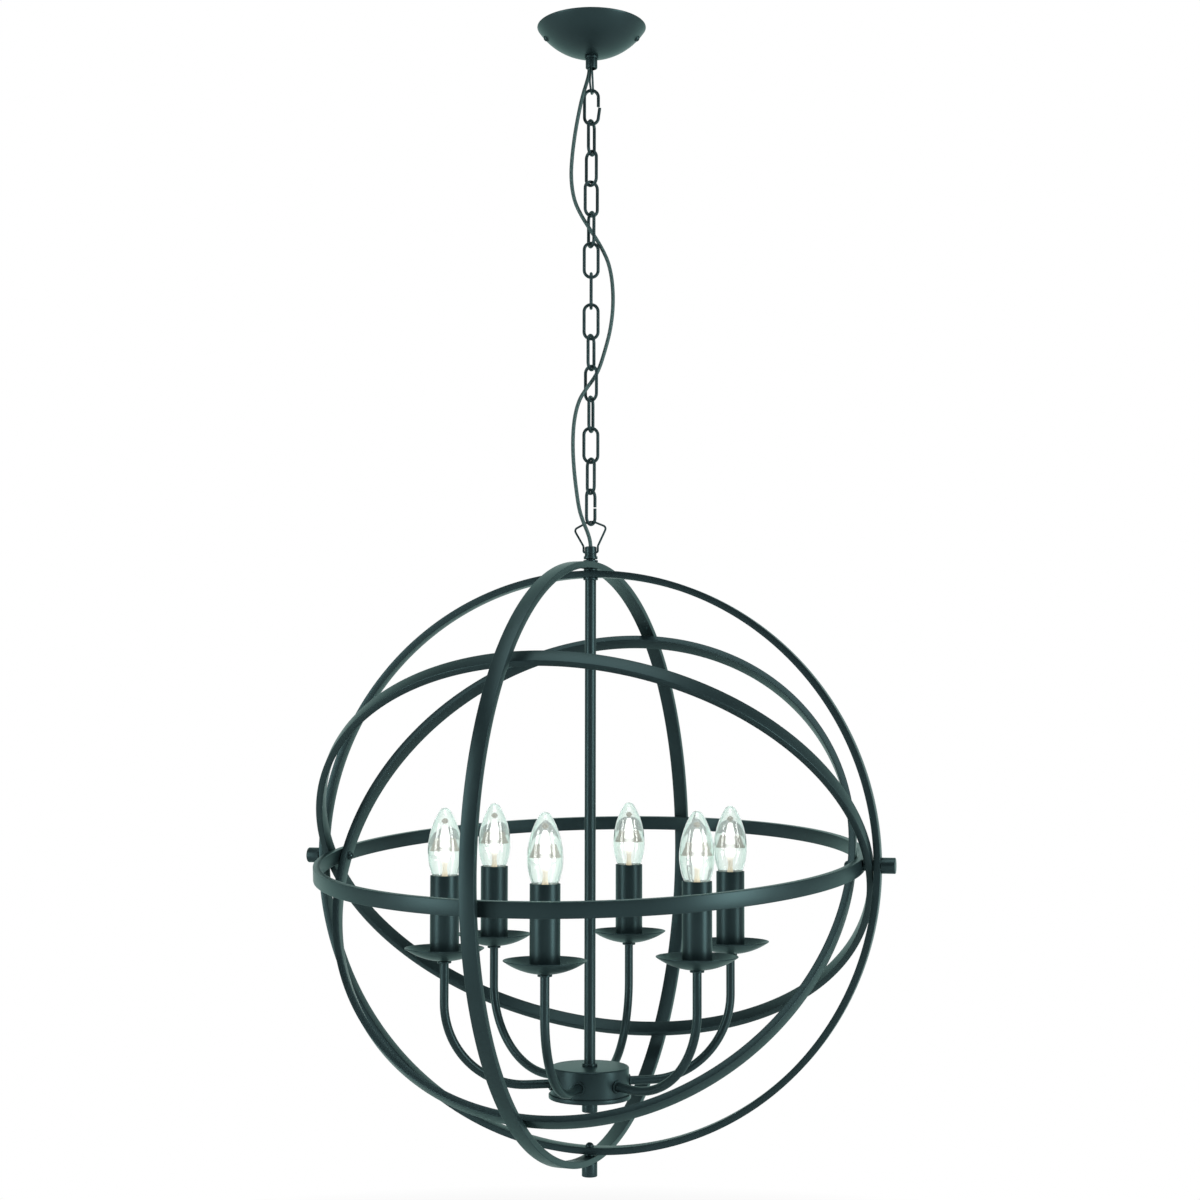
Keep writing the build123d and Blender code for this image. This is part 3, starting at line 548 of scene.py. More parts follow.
cord_jacket = make_cord_jacket()

# %% Seventeen lengths of cord
joint_count = len(chain_bodies) - 1
cuts = [min(range(len(walked)), key=lambda step: abs(walked[step] - cord_length * number / joint_count))
        for number in range(joint_count + 1)]
for number, (first, last) in enumerate(zip(cuts, cuts[1:])):
    steps, pairs = line_steps[first:last + 1], line_frames[first:last + 1]
    tube = cord_tube(f"cord_{number + 1:02d}", steps, pairs, walked[first:last + 1])
    pick(tube)
    bpy.ops.object.shade_smooth_by_angle(angle=math.radians(50))
    tube.data.materials.append(cord_jacket)
    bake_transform(tube)
    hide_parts("power_cord")
print("shortest length of cord", round(min(walked[b] - walked[a] for a, b in zip(cuts, cuts[1:])), 4))

# %% [markdown]
# ## The five hoops
#
# Each hoop is a flat bar bent into a circle or a slightly flattened circle. A filled circle is stretched to
# the outside of the hoop, its face is inset by the bar's thickness and opened, and the ring is extruded by
# the bar's width. The real bar's edges are broken by the paint, so a small bevel runs along all of them.

# %% Hoops
bar_width = 15.0 * MM
bar_thick = 7.0 * MM
edge_round = 0.7 * MM
hoop_steps = 288


def make_hoop(along, across, turn, name, body):
    """A bar hoop with half-sizes along +X and across it, placed by a turn matrix."""
    deselect()
    bpy.ops.mesh.primitive_circle_add(vertices=hoop_steps, radius=1.0, fill_type="NGON")
    hoop = bpy.context.object
    bpy.ops.object.mode_set(mode="EDIT")
    bpy.ops.transform.resize(value=(along, across, 1))
    bpy.ops.mesh.inset(thickness=bar_thick)
    bpy.ops.mesh.delete(type="FACE")
    bpy.ops.mesh.select_all(action="SELECT")
    bpy.ops.transform.translate(value=(0, 0, -bar_width / 2))
    bpy.ops.mesh.extrude_region_move(TRANSFORM_OT_translate={"value": (0, 0, bar_width)})
    bpy.ops.mesh.select_all(action="SELECT")
    bpy.ops.mesh.normals_make_consistent(inside=False)
    bpy.ops.object.mode_set(mode="OBJECT")
    edges = hoop.modifiers.new("broken_edges", "BEVEL")
    edges.width = edge_round
    edges.segments = 3
    edges.limit_method = "ANGLE"
    edges.angle_limit = math.radians(40)
    bpy.ops.object.modifier_apply(modifier=edges.name)
    place(hoop, Matrix.Translation(orb) @ turn)
    return finish(hoop, name, slate_paint, body, [name.replace("_bar", "_hoop")])


meridian_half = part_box("meridian_hoop")[1].x
cross_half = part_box("cross_hoop")[1].z - orb.z
cross_turn = math.radians(-5.4)
upright = Matrix.Rotation(math.pi / 2, 4, "X")
make_hoop(meridian_half, meridian_half, upright, "meridian_bar", "orb")
make_hoop(cross_half, cross_half, Matrix.Rotation(cross_turn, 4, "Z") @ Matrix.Rotation(math.pi / 2, 4, "Y"),
          "cross_bar", "cross_hoop")
tilted_hoops = {"outer": (285.5 * MM, -45.4), "middle": (293.0 * MM, 5.3), "inner": (297.5 * MM, 53.0)}
for which, (across, tilt) in tilted_hoops.items():
    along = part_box(f"{which}_hoop")[1].x
    made = make_hoop(along, across, Matrix.Rotation(math.radians(tilt), 4, "X"), f"{which}_bar",
                     f"{which}_hoop")
    print(made.name, round(along, 4), across, "triangles", 2 * len(made.data.polygons))

# %% [markdown]
# ## The canopy
#
# The canopy and the six cups are spun from sheet on a former, so each is an arc outside, the same arc less
# the wall inside, and a soft rim between them. One outline function serves both. Two slotted screws with
# domed heads hold the canopy on its bracket. Their slots are cut with a Boolean modifier, as a saw would.


# %% Spun dishes
def dish_outline(centre_z, radius, wall, hole, rim_z, steps=24):
    """Closed half outline of a spun dish: outside, rounded rim, inside, and a hole in the middle."""
    lean = math.degrees(math.asin((rim_z - wall / 2 - centre_z) / (radius - wall / 2)))
    rim = (math.cos(math.radians(lean)) * (radius - wall / 2), rim_z - wall / 2)
    outside = arc((0, centre_z), radius, -math.degrees(math.acos(hole / radius)), lean, steps)
    inside = arc((0, centre_z), radius - wall, lean, -math.degrees(math.acos(hole / (radius - wall))), steps)
    return outside + arc(rim, wall / 2, lean, lean + 180, 6)[1:-1] + inside + [outside[0]]


# %% Canopy bowl
bowl_radius = 68.78 * MM
bowl_wall = 1.2 * MM
thread_radius = 4.8 * MM
clearance = 0.1 * MM
bowl_centre_z = math.sqrt(bowl_radius ** 2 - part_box("canopy_cover")[1].x ** 2)
bowl_hole = thread_radius + clearance
bowl = lathe(dish_outline(bowl_centre_z, bowl_radius, bowl_wall, bowl_hole, 0.0, steps=40), 160)
finish(bowl, "canopy_bowl", slate_paint, "canopy", ["canopy_cover"], soft_angle=50)
print("canopy bowl", round(bowl.dimensions.x, 4), "wide and", round(bowl.dimensions.z, 4), "deep")


# %% Slotted screws
def domed_screw(head_d, head_h, shank_d, shank_length):
    """A domed head standing on z = 0 with a saw slot, and its shank below, made about +Z."""
    radius = ((head_d / 2) ** 2 + head_h ** 2) / (2 * head_h)
    dome = arc((0, head_h - radius), radius, math.degrees(math.asin((radius - head_h) / radius)), 90, 10)
    outline = [(0, -shank_length), (shank_d / 2, -shank_length), (shank_d / 2, 0)] + dome[:-1] + [(0, head_h)]
    screw = lathe(outline, 48)
    deselect()
    bpy.ops.mesh.primitive_cube_add(size=1)
    saw = bpy.context.object
    bpy.ops.object.mode_set(mode="EDIT")
    bpy.ops.transform.resize(value=(2 * head_d, head_d / 8, head_h / 2))
    bpy.ops.transform.translate(value=(0, 0, head_h))
    bpy.ops.object.mode_set(mode="OBJECT")
    pick(screw)
    slot = screw.modifiers.new("slot", "BOOLEAN")
    slot.operation = "DIFFERENCE"
    slot.object = saw
    bpy.ops.object.modifier_apply(modifier=slot.name)
    bpy.data.objects.remove(saw)
    return screw


canopy_screw = domed_screw(7.0 * MM, 2.6 * MM, 4.0 * MM, 9.0 * MM)
canopy_screw_lean = 44.0
for which, side in (("left", -1), ("right", 1)):
    lean = math.radians(side * (180 - canopy_screw_lean))
    spot = (Matrix.Rotation(canopy_turn, 4, "Z") @ Matrix.Translation((0, 0, bowl_centre_z))
            @ Matrix.Rotation(lean, 4, "Y") @ Matrix.Translation((0, 0, bowl_radius)))
    finish(place(copy_of(canopy_screw), spot), f"canopy_screw_{which}", slate_paint, "canopy",
           ["canopy_screws"])
bpy.data.objects.remove(canopy_screw)

# %% [markdown]
# ## The two collars
#
# A small turned collar ends the chain above and below. Its flange seats on the canopy or on the stem, the
# lower one has two fine lines turned in its barrel, and its open end has a large soft radius where the cord
# comes out.

# %% Collars
collar_length = 13.0 * MM
barrel_radius = 6.2 * MM
mouth_radius = 4.8 * MM
flange_radius = 7.25 * MM
flange_high = 2.8 * MM
line_depth = 0.2 * MM
mouth_round = 1.28 * MM
flange_round = 0.35 * MM
undercut = 0.4 * MM
upper_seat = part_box("canopy_collar")[0].z + collar_length
lower_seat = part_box("hanger_collar")[0].z


def collar(foot, web_top, lines):
    """A collar about +Z, flange face at z = 0; foot is the outline of the thread or bore under it.

    lines are the heights of the fine lines turned in its barrel.
    """
    corners = foot + [(flange_radius, 0, flange_round), (flange_radius, flange_high, flange_round),
                      (barrel_radius - 2 * line_depth, flange_high, 0),
                      (barrel_radius - 2 * line_depth, flange_high + undercut, 0),
                      (barrel_radius, flange_high + undercut, 0.12 * MM)]
    for height in lines:
        corners += [(barrel_radius, height - line_depth, 0), (barrel_radius - line_depth, height, 0),
                    (barrel_radius, height + line_depth, 0)]
    corners += [(barrel_radius, collar_length, mouth_round), (mouth_radius, collar_length, 0.1 * MM),
                (mouth_radius, web_top, 0), (foot[0][0], web_top, 0), foot[0]]
    return lathe(rounded(corners, 6), 96)


bore_radius = 3.5 * MM
nipple_length = 9.0 * MM
nipple = [(bore_radius, -nipple_length, 0), (thread_radius, -nipple_length, 0.3 * MM), (thread_radius, 0, 0)]
upper_web, lower_web = 3.8 * MM, 4.75 * MM
lower_lines = [4.5 * MM, 5.5 * MM]
upper_collar = place(collar(nipple, upper_web, []), Matrix.Translation((0, 0, upper_seat))
                     @ Matrix.Rotation(math.pi, 4, "X"))
finish(upper_collar, "canopy_loop_collar", slate_paint, "canopy", ["canopy_collar"])
lower_collar = place(collar([(thread_radius + clearance, 0, 0)], lower_web, lower_lines),
                     Matrix.Translation((0, 0, lower_seat)))
finish(lower_collar, "orb_loop_collar", slate_paint, "orb", ["hanger_collar"])
print("collars at", round(upper_seat, 4), "and", round(lower_seat, 4))

# %% [markdown]
# ## Wire bails and chain links
#
# The bails are bent by hand from thin wire: a small hook into the collar, a leg that spreads, and a low
# peak that carries a link. The lower one came out a little lopsided, and it is left so. The links are bent
# from thicker wire. The first and the last have a cut side, so that they can be opened and closed.


# %% Bails
def upright_path(corners, turn, pivot_z, up, steps=6):
    """Points of a bent wire from (sideways, up, radius) corners in an upright plane."""
    along = Vector((math.cos(turn), math.sin(turn), 0))
    return [along * u + UP * (pivot_z + up * v) for u, v in rounded(corners, steps)]


bail_wire = 2.2 * MM
bail_pivot = 7.0 * MM
bail_pin = (5.1 * MM, 0, 0)
bail_elbow = (7.7 * MM, 0, 1.5 * MM)
bail_foot = (7.7 * MM, 6.5 * MM, 4.0 * MM)
bail_peak = (0, 33.3 * MM, 12.0 * MM)
corner_round = 3.4 * MM


def bail(name, left_corner, right_corner, turn, pivot_z, up):
    """A bent hanger between a collar's side holes, with its two corners at (sideways, up)."""
    right_half = [bail_pin, bail_elbow, bail_foot, (*right_corner, corner_round)]
    left_half = [(-u, v, r) for u, v, r in (bail_pin, bail_elbow, bail_foot)]
    left_half.append((-left_corner[0], left_corner[1], corner_round))
    path = upright_path(right_half + [bail_peak] + left_half[::-1], canopy_turn + math.radians(turn),
                        pivot_z, up)
    return finish(wire(path, bail_wire, sides=5), f"bent_{name}", slate_paint, name, [name], soft_angle=60)


bail("top_bail", (17.4 * MM, 25.6 * MM), (17.4 * MM, 25.6 * MM), 84.0, upper_seat - bail_pivot, -1)
bail("hanger_bail", (17.9 * MM, 24.2 * MM), (17.1 * MM, 26.2 * MM), -14.0, lower_seat + bail_pivot, 1)

# %% Chain links
link_wire = 3.4 * MM
link_turns = [0, 65, -44, 29, 112.6, 5, 90, 0, 65, 142, 73, 5, 120, 53]
link_width = 18.0 * MM
link_length = 39.6 * MM
link_bend = (link_width - link_wire) / 2
link_leg = (link_length - link_width) / 2
link_cut = 1.3 * MM
cut_spring = 1.4 * MM


def chain_link(number, turn):
    """One oval link at its node's place; the first and the last are cut in one side."""
    centre_z = middle(f"chain_link_{number:02d}").z
    oval = arc((0, link_leg), link_bend, 0, 180, 24) + arc((0, -link_leg), link_bend, 180, 360, 24)
    split = number in (1, len(link_turns))
    if split:
        spring = cut_spring if number == 1 else 0
        oval = [(link_bend, link_cut / 2)] + oval + [(link_bend + spring, -link_cut / 2)]
    along = Vector((math.cos(turn), math.sin(turn), 0))
    path = [along * u + UP * (centre_z + v) for u, v in oval]
    name = f"chain_link_{number:02d}"
    return finish(wire(path, link_wire, closed=not split), name.replace("chain", "wire"), slate_paint,
                  name, [name], soft_angle=60)


for number, turn in enumerate(link_turns, 1):
    chain_link(number, canopy_turn + math.radians(turn))
print("chain of", len(link_turns), "links from", round(middle("chain_link_01").z, 4))

# %% [markdown]
# ## Nuts, stem and knobs
#
# The stem's thinner threaded end goes up through both upright hoops, with a round nut above and one below.
# A bare millimetre of thread shows under the collar, so the thread is turned as fine rings. At the side
# pivots and under the orb sit three plain knobs on slotted screws, with washers between the hoops.


# %% Stem and its nuts
def thread_outline(radius, low, high, pitch=1.0 * MM, depth=0.4 * MM):
    """Outline points up a fine thread between two heights."""
    points = []
    for turn_of_thread in range(int((high - low) / pitch)):
        bottom = low + turn_of_thread * pitch
        points += [(radius, bottom), (radius, bottom + pitch / 4), (radius - depth, bottom + pitch * 0.6)]
    return points + [(radius, high)]


stem_low, stem_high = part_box("stem")
stem_radius = 5.8 * MM
stem_bore_end = hub_high.z - 14 * MM
nuts_low, nuts_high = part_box("top_nuts")
shoulder_z = nuts_low.z
ring_mid_z = hub_high.z + 1.5 * MM
shoulder_round = 0.3 * MM
stem_outline = ([(0, stem_low.z)] + thread_outline(thread_radius, stem_low.z, ring_mid_z)
                + [(stem_radius, ring_mid_z), (stem_radius, shoulder_z - shoulder_round),
                   (stem_radius - shoulder_round, shoulder_z)]
                + thread_outline(thread_radius, shoulder_z, stem_high.z)
                + [(bore_radius, stem_high.z), (bore_radius, stem_bore_end), (0, stem_bore_end)])
finish(lathe(stem_outline, 64), "hollow_stem", slate_paint, "orb", ["stem"])
nut_radius = 7.65 * MM
nut_bore = thread_radius + clearance
upper_nut_high, lower_nut_high = 1.9 * MM, 2.4 * MM
top_nuts = {"nut_above_hoops": (nuts_high.z - upper_nut_high, nuts_high.z),
            "nut_below_hoops": (nuts_low.z, nuts_low.z + lower_nut_high)}
for name, (low, high) in top_nuts.items():
    finish(lathe(ring_outline(nut_bore, nut_radius, low, high, 0.35 * MM)), name, slate_paint, "orb",
           ["top_nuts"])

# %% Knobs, pivot screws and washers
knob_radius = 8.0 * MM
knob_length = 14.0 * MM
pivot_radius = 2.5 * MM
knob_bore = pivot_radius + clearance
knob_grip = 9.0 * MM
knob = lathe(rounded([(knob_bore, 0, 0), (knob_radius, 0, 0.3 * MM), (knob_radius, knob_length, 0.8 * MM),
                      (0, knob_length, 0), (0, knob_grip + MM, 0), (knob_bore, knob_grip + MM, 0),
                      (knob_bore, 0, 0)], 5), 96)
side_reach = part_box("knobs")[1].x - knob_length
bottom_reach = orb.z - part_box("knobs")[0].z - knob_length


def outwards(side, reach):
    """A place at a distance from the orb's centre, whose +Z points out: left, right or bottom."""
    turns = {"left": Matrix.Rotation(-math.pi / 2, 4, "Y"), "right": Matrix.Rotation(math.pi / 2, 4, "Y"),
             "bottom": Matrix.Rotation(math.pi, 4, "X"), "top": Matrix.Identity(4)}
    return Matrix.Translation(orb) @ turns[side] @ Matrix.Translation((0, 0, reach))


head_diameter = 9.0 * MM
head_height = 4.0 * MM
head_gap = 0.3 * MM
side_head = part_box("inner_hoop")[1].x - bar_thick - head_gap
bottom_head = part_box("meridian_hoop")[1].x - bar_thick - head_gap
reaches = {"left": (side_reach, side_head), "right": (side_reach, side_head),
           "bottom": (bottom_reach, bottom_head)}
for side, (reach, head_reach) in reaches.items():
    finish(place(copy_of(knob), outwards(side, reach)), f"knob_{side}", slate_paint, "orb", ["knobs"])
    screw = domed_screw(head_diameter, head_height, 2 * pivot_radius, reach + knob_grip - head_reach)
    inward = outwards(side, head_reach) @ Matrix.Rotation(math.pi, 4, "X")
    finish(place(screw, inward), f"pivot_screw_{side}", slate_paint, "orb", ["pivot_screws"])
bpy.data.objects.remove(knob)

washer_radius = 5.5 * MM
pole_washer_radius = 7.3 * MM
hoop_reach = {name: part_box(f"{name}_hoop")[1].x for name in ("meridian", "outer", "middle", "inner")}
stack = [hoop_reach[name] for name in ("meridian", "outer", "middle", "inner")]
cross_inside = cross_half - bar_thick


def washer(name, side, bore, radius, low, high):
    """A soft-edged washer between two reaches on one pivot."""
    ring = lathe(ring_outline(bore, radius, low, high, min(0.2 * MM, (high - low) / 3)), 48)
    finish(place(ring, outwards(side, 0)), name, slate_paint, "orb", ["pivot_spacers"])


for side in ("left", "right"):
    for number, (outside, inside) in enumerate(zip(stack, stack[1:]), 1):
        washer(f"washer_{side}_{number}", side, knob_bore, washer_radius, inside + 0.15 * MM,
               outside - bar_thick - 0.2 * MM)
washer("washer_top", "top", nut_bore, pole_washer_radius, hoop_reach["meridian"] + 0.15 * MM,
       cross_inside - 0.25 * MM)
washer("washer_bottom", "bottom", knob_bore, washer_radius, hoop_reach["meridian"] + 0.15 * MM,
       cross_inside - 0.2 * MM)
print("knobs reach", round(side_reach + knob_length, 4), "sideways")

# %% [markdown]
# ## The hub
#
# The hub is a shallow round box under the stem. Its body has one soft edge above, a wider plate closes it
# below, and a turned nut clamps the plate. The stepped ring on top locks the stem.

# %% Hub
hub_radius = 40.5 * MM
hub_wall = 1.5 * MM
hub_edge = 2.0 * MM
seat_gap = 0.02 * MM
body_outline = rounded([(nut_bore, hub_high.z, 0), (hub_radius, hub_high.z, hub_edge),
                        (hub_radius, hub_low.z, 0.2 * MM), (hub_radius - hub_wall, hub_low.z, 0.2 * MM),
                        (hub_radius - hub_wall, hub_high.z - hub_wall, hub_edge / 2),
                        (nut_bore, hub_high.z - hub_wall, 0), (nut_bore, hub_high.z, 0)], 6)
finish(lathe(body_outline, 160), "hub_box", slate_paint, "orb", ["hub_body"])
cover_low, cover_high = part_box("hub_cover")
cover_radius = cover_high.x
plate_high = hub_low.z - seat_gap
lip_radius = hub_radius - hub_wall - clearance
lip_inside = lip_radius - 2 * hub_wall
cover_outline = rounded([(nut_bore, cover_low.z, 0), (cover_radius, cover_low.z, 1.5 * MM),
                         (cover_radius, plate_high, 0.5 * MM), (lip_radius, plate_high, 0),
                         (lip_radius, cover_high.z, 0.3 * MM), (lip_inside, cover_high.z, 0.3 * MM),
                         (lip_inside, plate_high, 0), (nut_bore, plate_high, 0),
                         (nut_bore, cover_low.z, 0)], 5)
finish(lathe(cover_outline, 160), "hub_plate", slate_paint, "orb", ["hub_cover"])
finial_low, finial_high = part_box("hub_finial")
finial_outline = rounded([(0, finial_low.z, 0), (knob_radius, finial_low.z, 0.8 * MM),
                          (knob_radius, finial_high.z, 0.3 * MM), (nut_bore, finial_high.z, 0),
                          (nut_bore, finial_high.z - 8 * MM, 0), (0, finial_high.z - 8 * MM, 0)], 5)
finish(lathe(finial_outline, 96), "hub_end_nut", slate_paint, "orb", ["hub_finial"])
lock_low, lock_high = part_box("stem_lock_ring")
lock_bore = stem_radius + clearance
lock_outline = rounded([(nut_bore, lock_low.z, 0), (lock_high.x, lock_low.z, 0.2 * MM),
                        (lock_high.x, lock_high.z, 0.75 * MM), (lock_bore, lock_high.z, 0.2 * MM),
                        (lock_bore, ring_mid_z, 0), (nut_bore, ring_mid_z, 0),
                        (nut_bore, lock_low.z, 0)], 5)
finish(lathe(lock_outline, 96), "lock_ring", slate_paint, "orb", ["stem_lock_ring"])
print("hub", round(2 * cover_radius, 4), "across its plate")

# %% [markdown]
# ## Six arms, cups and sleeves
#
# Each arm leaves the hub level, turns up in one quarter bend and stands straight under its lamp. All six
# are alike, so each piece is modelled once at the first bearing and copied round. The cup is a thin dish
# with a soft rim, clamped by a round nut, and the sleeve is a plain tube that stands in it.

# %% One lamp's metal pieces
arm_level = hub_high.z - 16.4 * MM
arm_radius = 4.5 * MM
arm_bend = 86.0 * MM
arm_start = 31.0 * MM
arm_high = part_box("arm_1")[1].z
cup_under = arm_level + 127.4 * MM
cup_radius = 70.12 * MM
cup_wall = 1.0 * MM
cup_depth = 13.6 * MM
sleeves_low, sleeves_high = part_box("sleeves")
sleeve_radius = 14.8 * MM
sleeve_wall = 0.6 * MM

bend = arc((lamp_circle - arm_bend, arm_level + arm_bend), arm_bend, -90, 0, 32)
arm_line = [Vector((x, 0, z)) for x, z in [(arm_start, arm_level)] + bend + [(lamp_circle, arm_high)]]
arm_piece = wire(arm_line, 2 * arm_radius, sides=8)
arm_bore = arm_radius + clearance
nut_edge = 0.4 * MM
nut_high = 2.0 * MM
cup_nut_radius = 7.1 * MM
nut_top = cup_under - seat_gap
cup_piece = lathe(dish_outline(cup_under + cup_radius, cup_radius, cup_wall, arm_bore,
                               cup_under + cup_depth), 128)
cup_nut = lathe(ring_outline(arm_bore, cup_nut_radius, nut_top - nut_high, nut_top, nut_edge), 64)
sleeve = lathe(ring_outline(sleeve_radius - sleeve_wall, sleeve_radius, sleeves_low.z, sleeves_high.z,
                            0.25 * MM), 96)
collar_out = hub_radius + seat_gap
arm_collar_radius = 6.8 * MM
arm_collar = lathe(ring_outline(arm_bore, arm_collar_radius, collar_out, collar_out + nut_high, nut_edge), 64)
nut_across_flats = 13.0 * MM
arm_nut_high = 3.0 * MM
nut_corner = nut_across_flats / math.sqrt(3)
nut_out = math.sqrt((hub_radius - hub_wall) ** 2 - nut_corner ** 2) - seat_gap
arm_nut = lathe(ring_outline(arm_radius * 1.2, nut_corner, nut_out - arm_nut_high, nut_out, 0.3 * MM), 6)
sideways = Matrix.Translation((0, 0, arm_level)) @ Matrix.Rotation(math.pi / 2, 4, "Y")
place(arm_collar, sideways)
place(arm_nut, sideways)
for piece in (cup_piece, cup_nut, sleeve):
    place(piece, Matrix.Translation((lamp_circle, 0, 0)))

# %% Copies round the hub
lamp_pieces = {"curved_arm": (arm_piece, "arm_{}", 60), "cup": (cup_piece, "cups", 50),
               "cup_nut": (cup_nut, "cup_nuts", 35), "candle_sleeve": (sleeve, "sleeves", 35),
               "arm_collar": (arm_collar, "arm_fittings", 35), "arm_nut": (arm_nut, "arm_fittings", 35)}
for number in range(1, lamp_count + 1):
    bearing = Matrix.Rotation(lamp_phase + 2 * math.pi * (number - 1) / lamp_count, 4, "Z")
    for name, (piece, node, soft_angle) in lamp_pieces.items():
        finish(place(copy_of(piece), bearing), f"{name}_{number}", slate_paint, "orb", [node.format(number)],
               soft_angle)
for piece, node, soft_angle in lamp_pieces.values():
    bpy.data.objects.remove(piece)
print(lamp_count, "arms with their cups and sleeves")

# %% [markdown]
# ## The candle bulbs
#
# The bulbs are clear. What shows inside is a moulded light guide: a slim post, a bright core and a sloping
# shoulder with a smoky gold tint. Clear glass is a thin shell with two true surfaces, so it bends light only
# at its edges, where it looks pale green. The lamps are lit, so the glass glows a little. Its shadow is left
# out through Alpha, because a sampled shadow would make everything inside the bulb black.


# %% Glass, guide and core finishes
def height_mask(tree, low, high):
    """A value from 0 to 1 between two heights of the object."""
    parts = tree.nodes.new("ShaderNodeSeparateXYZ")
    tree.links.new(tree.nodes.new("ShaderNodeTexCoord").outputs["Object"], parts.inputs["Vector"])
    ramp = tree.nodes.new("ShaderNodeMapRange")
    settings(ramp, From_Min=low, From_Max=high)
    tree.links.new(parts.outputs["Z"], ramp.inputs["Value"])
    return ramp.outputs["Result"]


def shadowless(tree, shader):
    """Let light and shadow rays through, as thin clear glass does."""
    ray = tree.nodes.new("ShaderNodeLightPath").outputs
    passing = math_node(tree, "MAXIMUM", ray["Is Shadow Ray"], ray["Is Diffuse Ray"])
    tree.links.new(math_node(tree, "SUBTRACT", 1.0, passing), shader.inputs["Alpha"])


def make_clear_glass():
    """Clear bulb glass, pale green where it is seen edge-on, with slight waves from blowing."""
    material, tree, shader = principled("clear_glass")
    weight = tree.nodes.new("ShaderNodeLayerWeight")
    settings(weight, Blend=0.5)
    face_on, edge_on = (0.945, 0.975, 0.955), (0.55, 0.80, 0.72)
    tint = mixed_colour(tree, weight.outputs["Facing"], face_on, edge_on)
    tree.links.new(tint, shader.inputs["Base Color"])
    settings(shader, Roughness=0.0, IOR=1.47, Transmission_Weight=0.88, Emission_Color=(0.82, 1.0, 0.93, 1),
             Emission_Strength=0.02)
    grains = tree.nodes.new("ShaderNodeGroup")
    grains.node_tree = grain_group
    settings(grains, Grain_Size=0.012)
    add_bump(tree, shader, grains.outputs["Height"], 0.04, MM)
    shadowless(tree, shader)
    return material


def make_smoky_band():
    """See-through plastic with a smoky gold tint at its sides and faint upright streaks."""
    material, tree, shader = principled("smoky_band")
    streaks = tree.nodes.new("ShaderNodeTexNoise")
    stretch = tree.nodes.new("ShaderNodeMapping")
    settings(stretch, Scale=(700, 700, 30))
    tree.links.new(tree.nodes.new("ShaderNodeTexCoord").outputs["Object"], stretch.inputs["Vector"])
    tree.links.new(stretch.outputs["Vector"], streaks.inputs["Vector"])
    settings(streaks, Scale=1.0)
    smoke, gold = (0.10, 0.09, 0.055), (0.34, 0.31, 0.22)
    tree.links.new(mixed_colour(tree, streaks.outputs["Fac"], smoke, gold), shader.inputs["Base Color"])
    settings(shader, Roughness=0.25)
    weight = tree.nodes.new("ShaderNodeLayerWeight")
    sides = tree.nodes.new("ShaderNodeMapRange")
    settings(sides, From_Min=0.10, From_Max=0.22, To_Min=0.06, To_Max=0.92)
    tree.links.new(weight.outputs["Facing"], sides.inputs["Value"])
    tree.links.new(sides.outputs["Result"], shader.inputs["Alpha"])
    return material


def make_lit_core(base_z, post_z, core_z):
    """Milky plastic: a painted reflection of the LED light at the foot, beige along the post and glowing
    white in the core.
    """
    material, tree, shader = principled("lit_core")
    # painted reflection: the orange-yellow colour at the foot stands in for the LED's light reflecting there
    painted_led_reflection, beige = (0.95, 0.72, 0.38), (0.80, 0.74, 0.60)
    foot = mixed_colour(tree, height_mask(tree, base_z, base_z + 9 * MM), painted_led_reflection, beige)
    body = mixed_colour(tree, height_mask(tree, post_z, core_z), foot, (1.0, 1.0, 0.98))
    tree.links.new(body, shader.inputs["Base Color"])
    glow = mixed_colour(tree, height_mask(tree, post_z, core_z), (0.16, 0.12, 0.06), (1.0, 1.0, 0.97))
    tree.links.new(glow, shader.inputs["Emission Color"])
    settings(shader, Emission_Strength=1.0, Roughness=0.45)
    return material


# %% Bulb outlines
bulb_radius = 17.5 * MM
belly = sleeves_high.z + 23.5 * MM
upper_flank = 80.0 * MM
lower_flank = 60.0 * MM
tip_radius = 6.6 * MM
glass_wall = 0.9 * MM
neck_radius = 6.95 * MM
neck = sleeves_high.z - 6.2 * MM
shoulder_drop = 23.0 * MM


def flank(inset, steps=12):
    """Half outline of the candle glass from its neck to its tip, at a depth inside its surface."""
    upper_centre = bulb_radius - upper_flank
    lean = math.acos(-upper_centre / (upper_flank - tip_radius))
    tip_z = belly + (upper_flank - tip_radius) * math.sin(lean)
    drop = math.asin(shoulder_drop / (lower_flank - inset))
    lower = arc((bulb_radius - lower_flank, belly), lower_flank - inset, -math.degrees(drop), 0, steps)
    upper = arc((upper_centre, belly), upper_flank - inset, 0, math.degrees(lean), 2 * steps)
    tip = arc((0, tip_z), tip_radius - inset, math.degrees(lean), 90, steps)[:-1]
    tip.append((0, tip_z + tip_radius - inset))
    start = (neck_radius - inset, neck, 0)
    throat = (neck_radius - inset + 0.3 * MM, neck + 1.6 * MM + inset, 1.0 * MM)
    shoulder = (lower[0][0] - 0.8 * MM, neck + 3.2 * MM + inset, 2.0 * MM)
    return rounded([start, throat, shoulder, (*lower[0], 0)], 5)[:-1] + lower + upper[1:] + tip[1:]


glass_outside, glass_inside = flank(0), flank(glass_wall)
glass_outline = glass_outside + glass_inside[::-1] + [glass_outside[0]]

# %% Bulb pieces
band_low_radius = 15.9 * MM
band_low = neck + 31.2 * MM
band_high_radius = 10.8 * MM
band_high = neck + 43.6 * MM
band_wall = 0.5 * MM
core_radius = 5.4 * MM
post_radius = 2.4 * MM
core_foot = neck + 3.05 * MM
core_start = neck + 17.0 * MM
core_top = neck + 57.0 * MM

clear_glass = make_clear_glass()
smoky_band = make_smoky_band()
lit_core = make_lit_core(core_foot, core_start, core_start + 8 * MM)

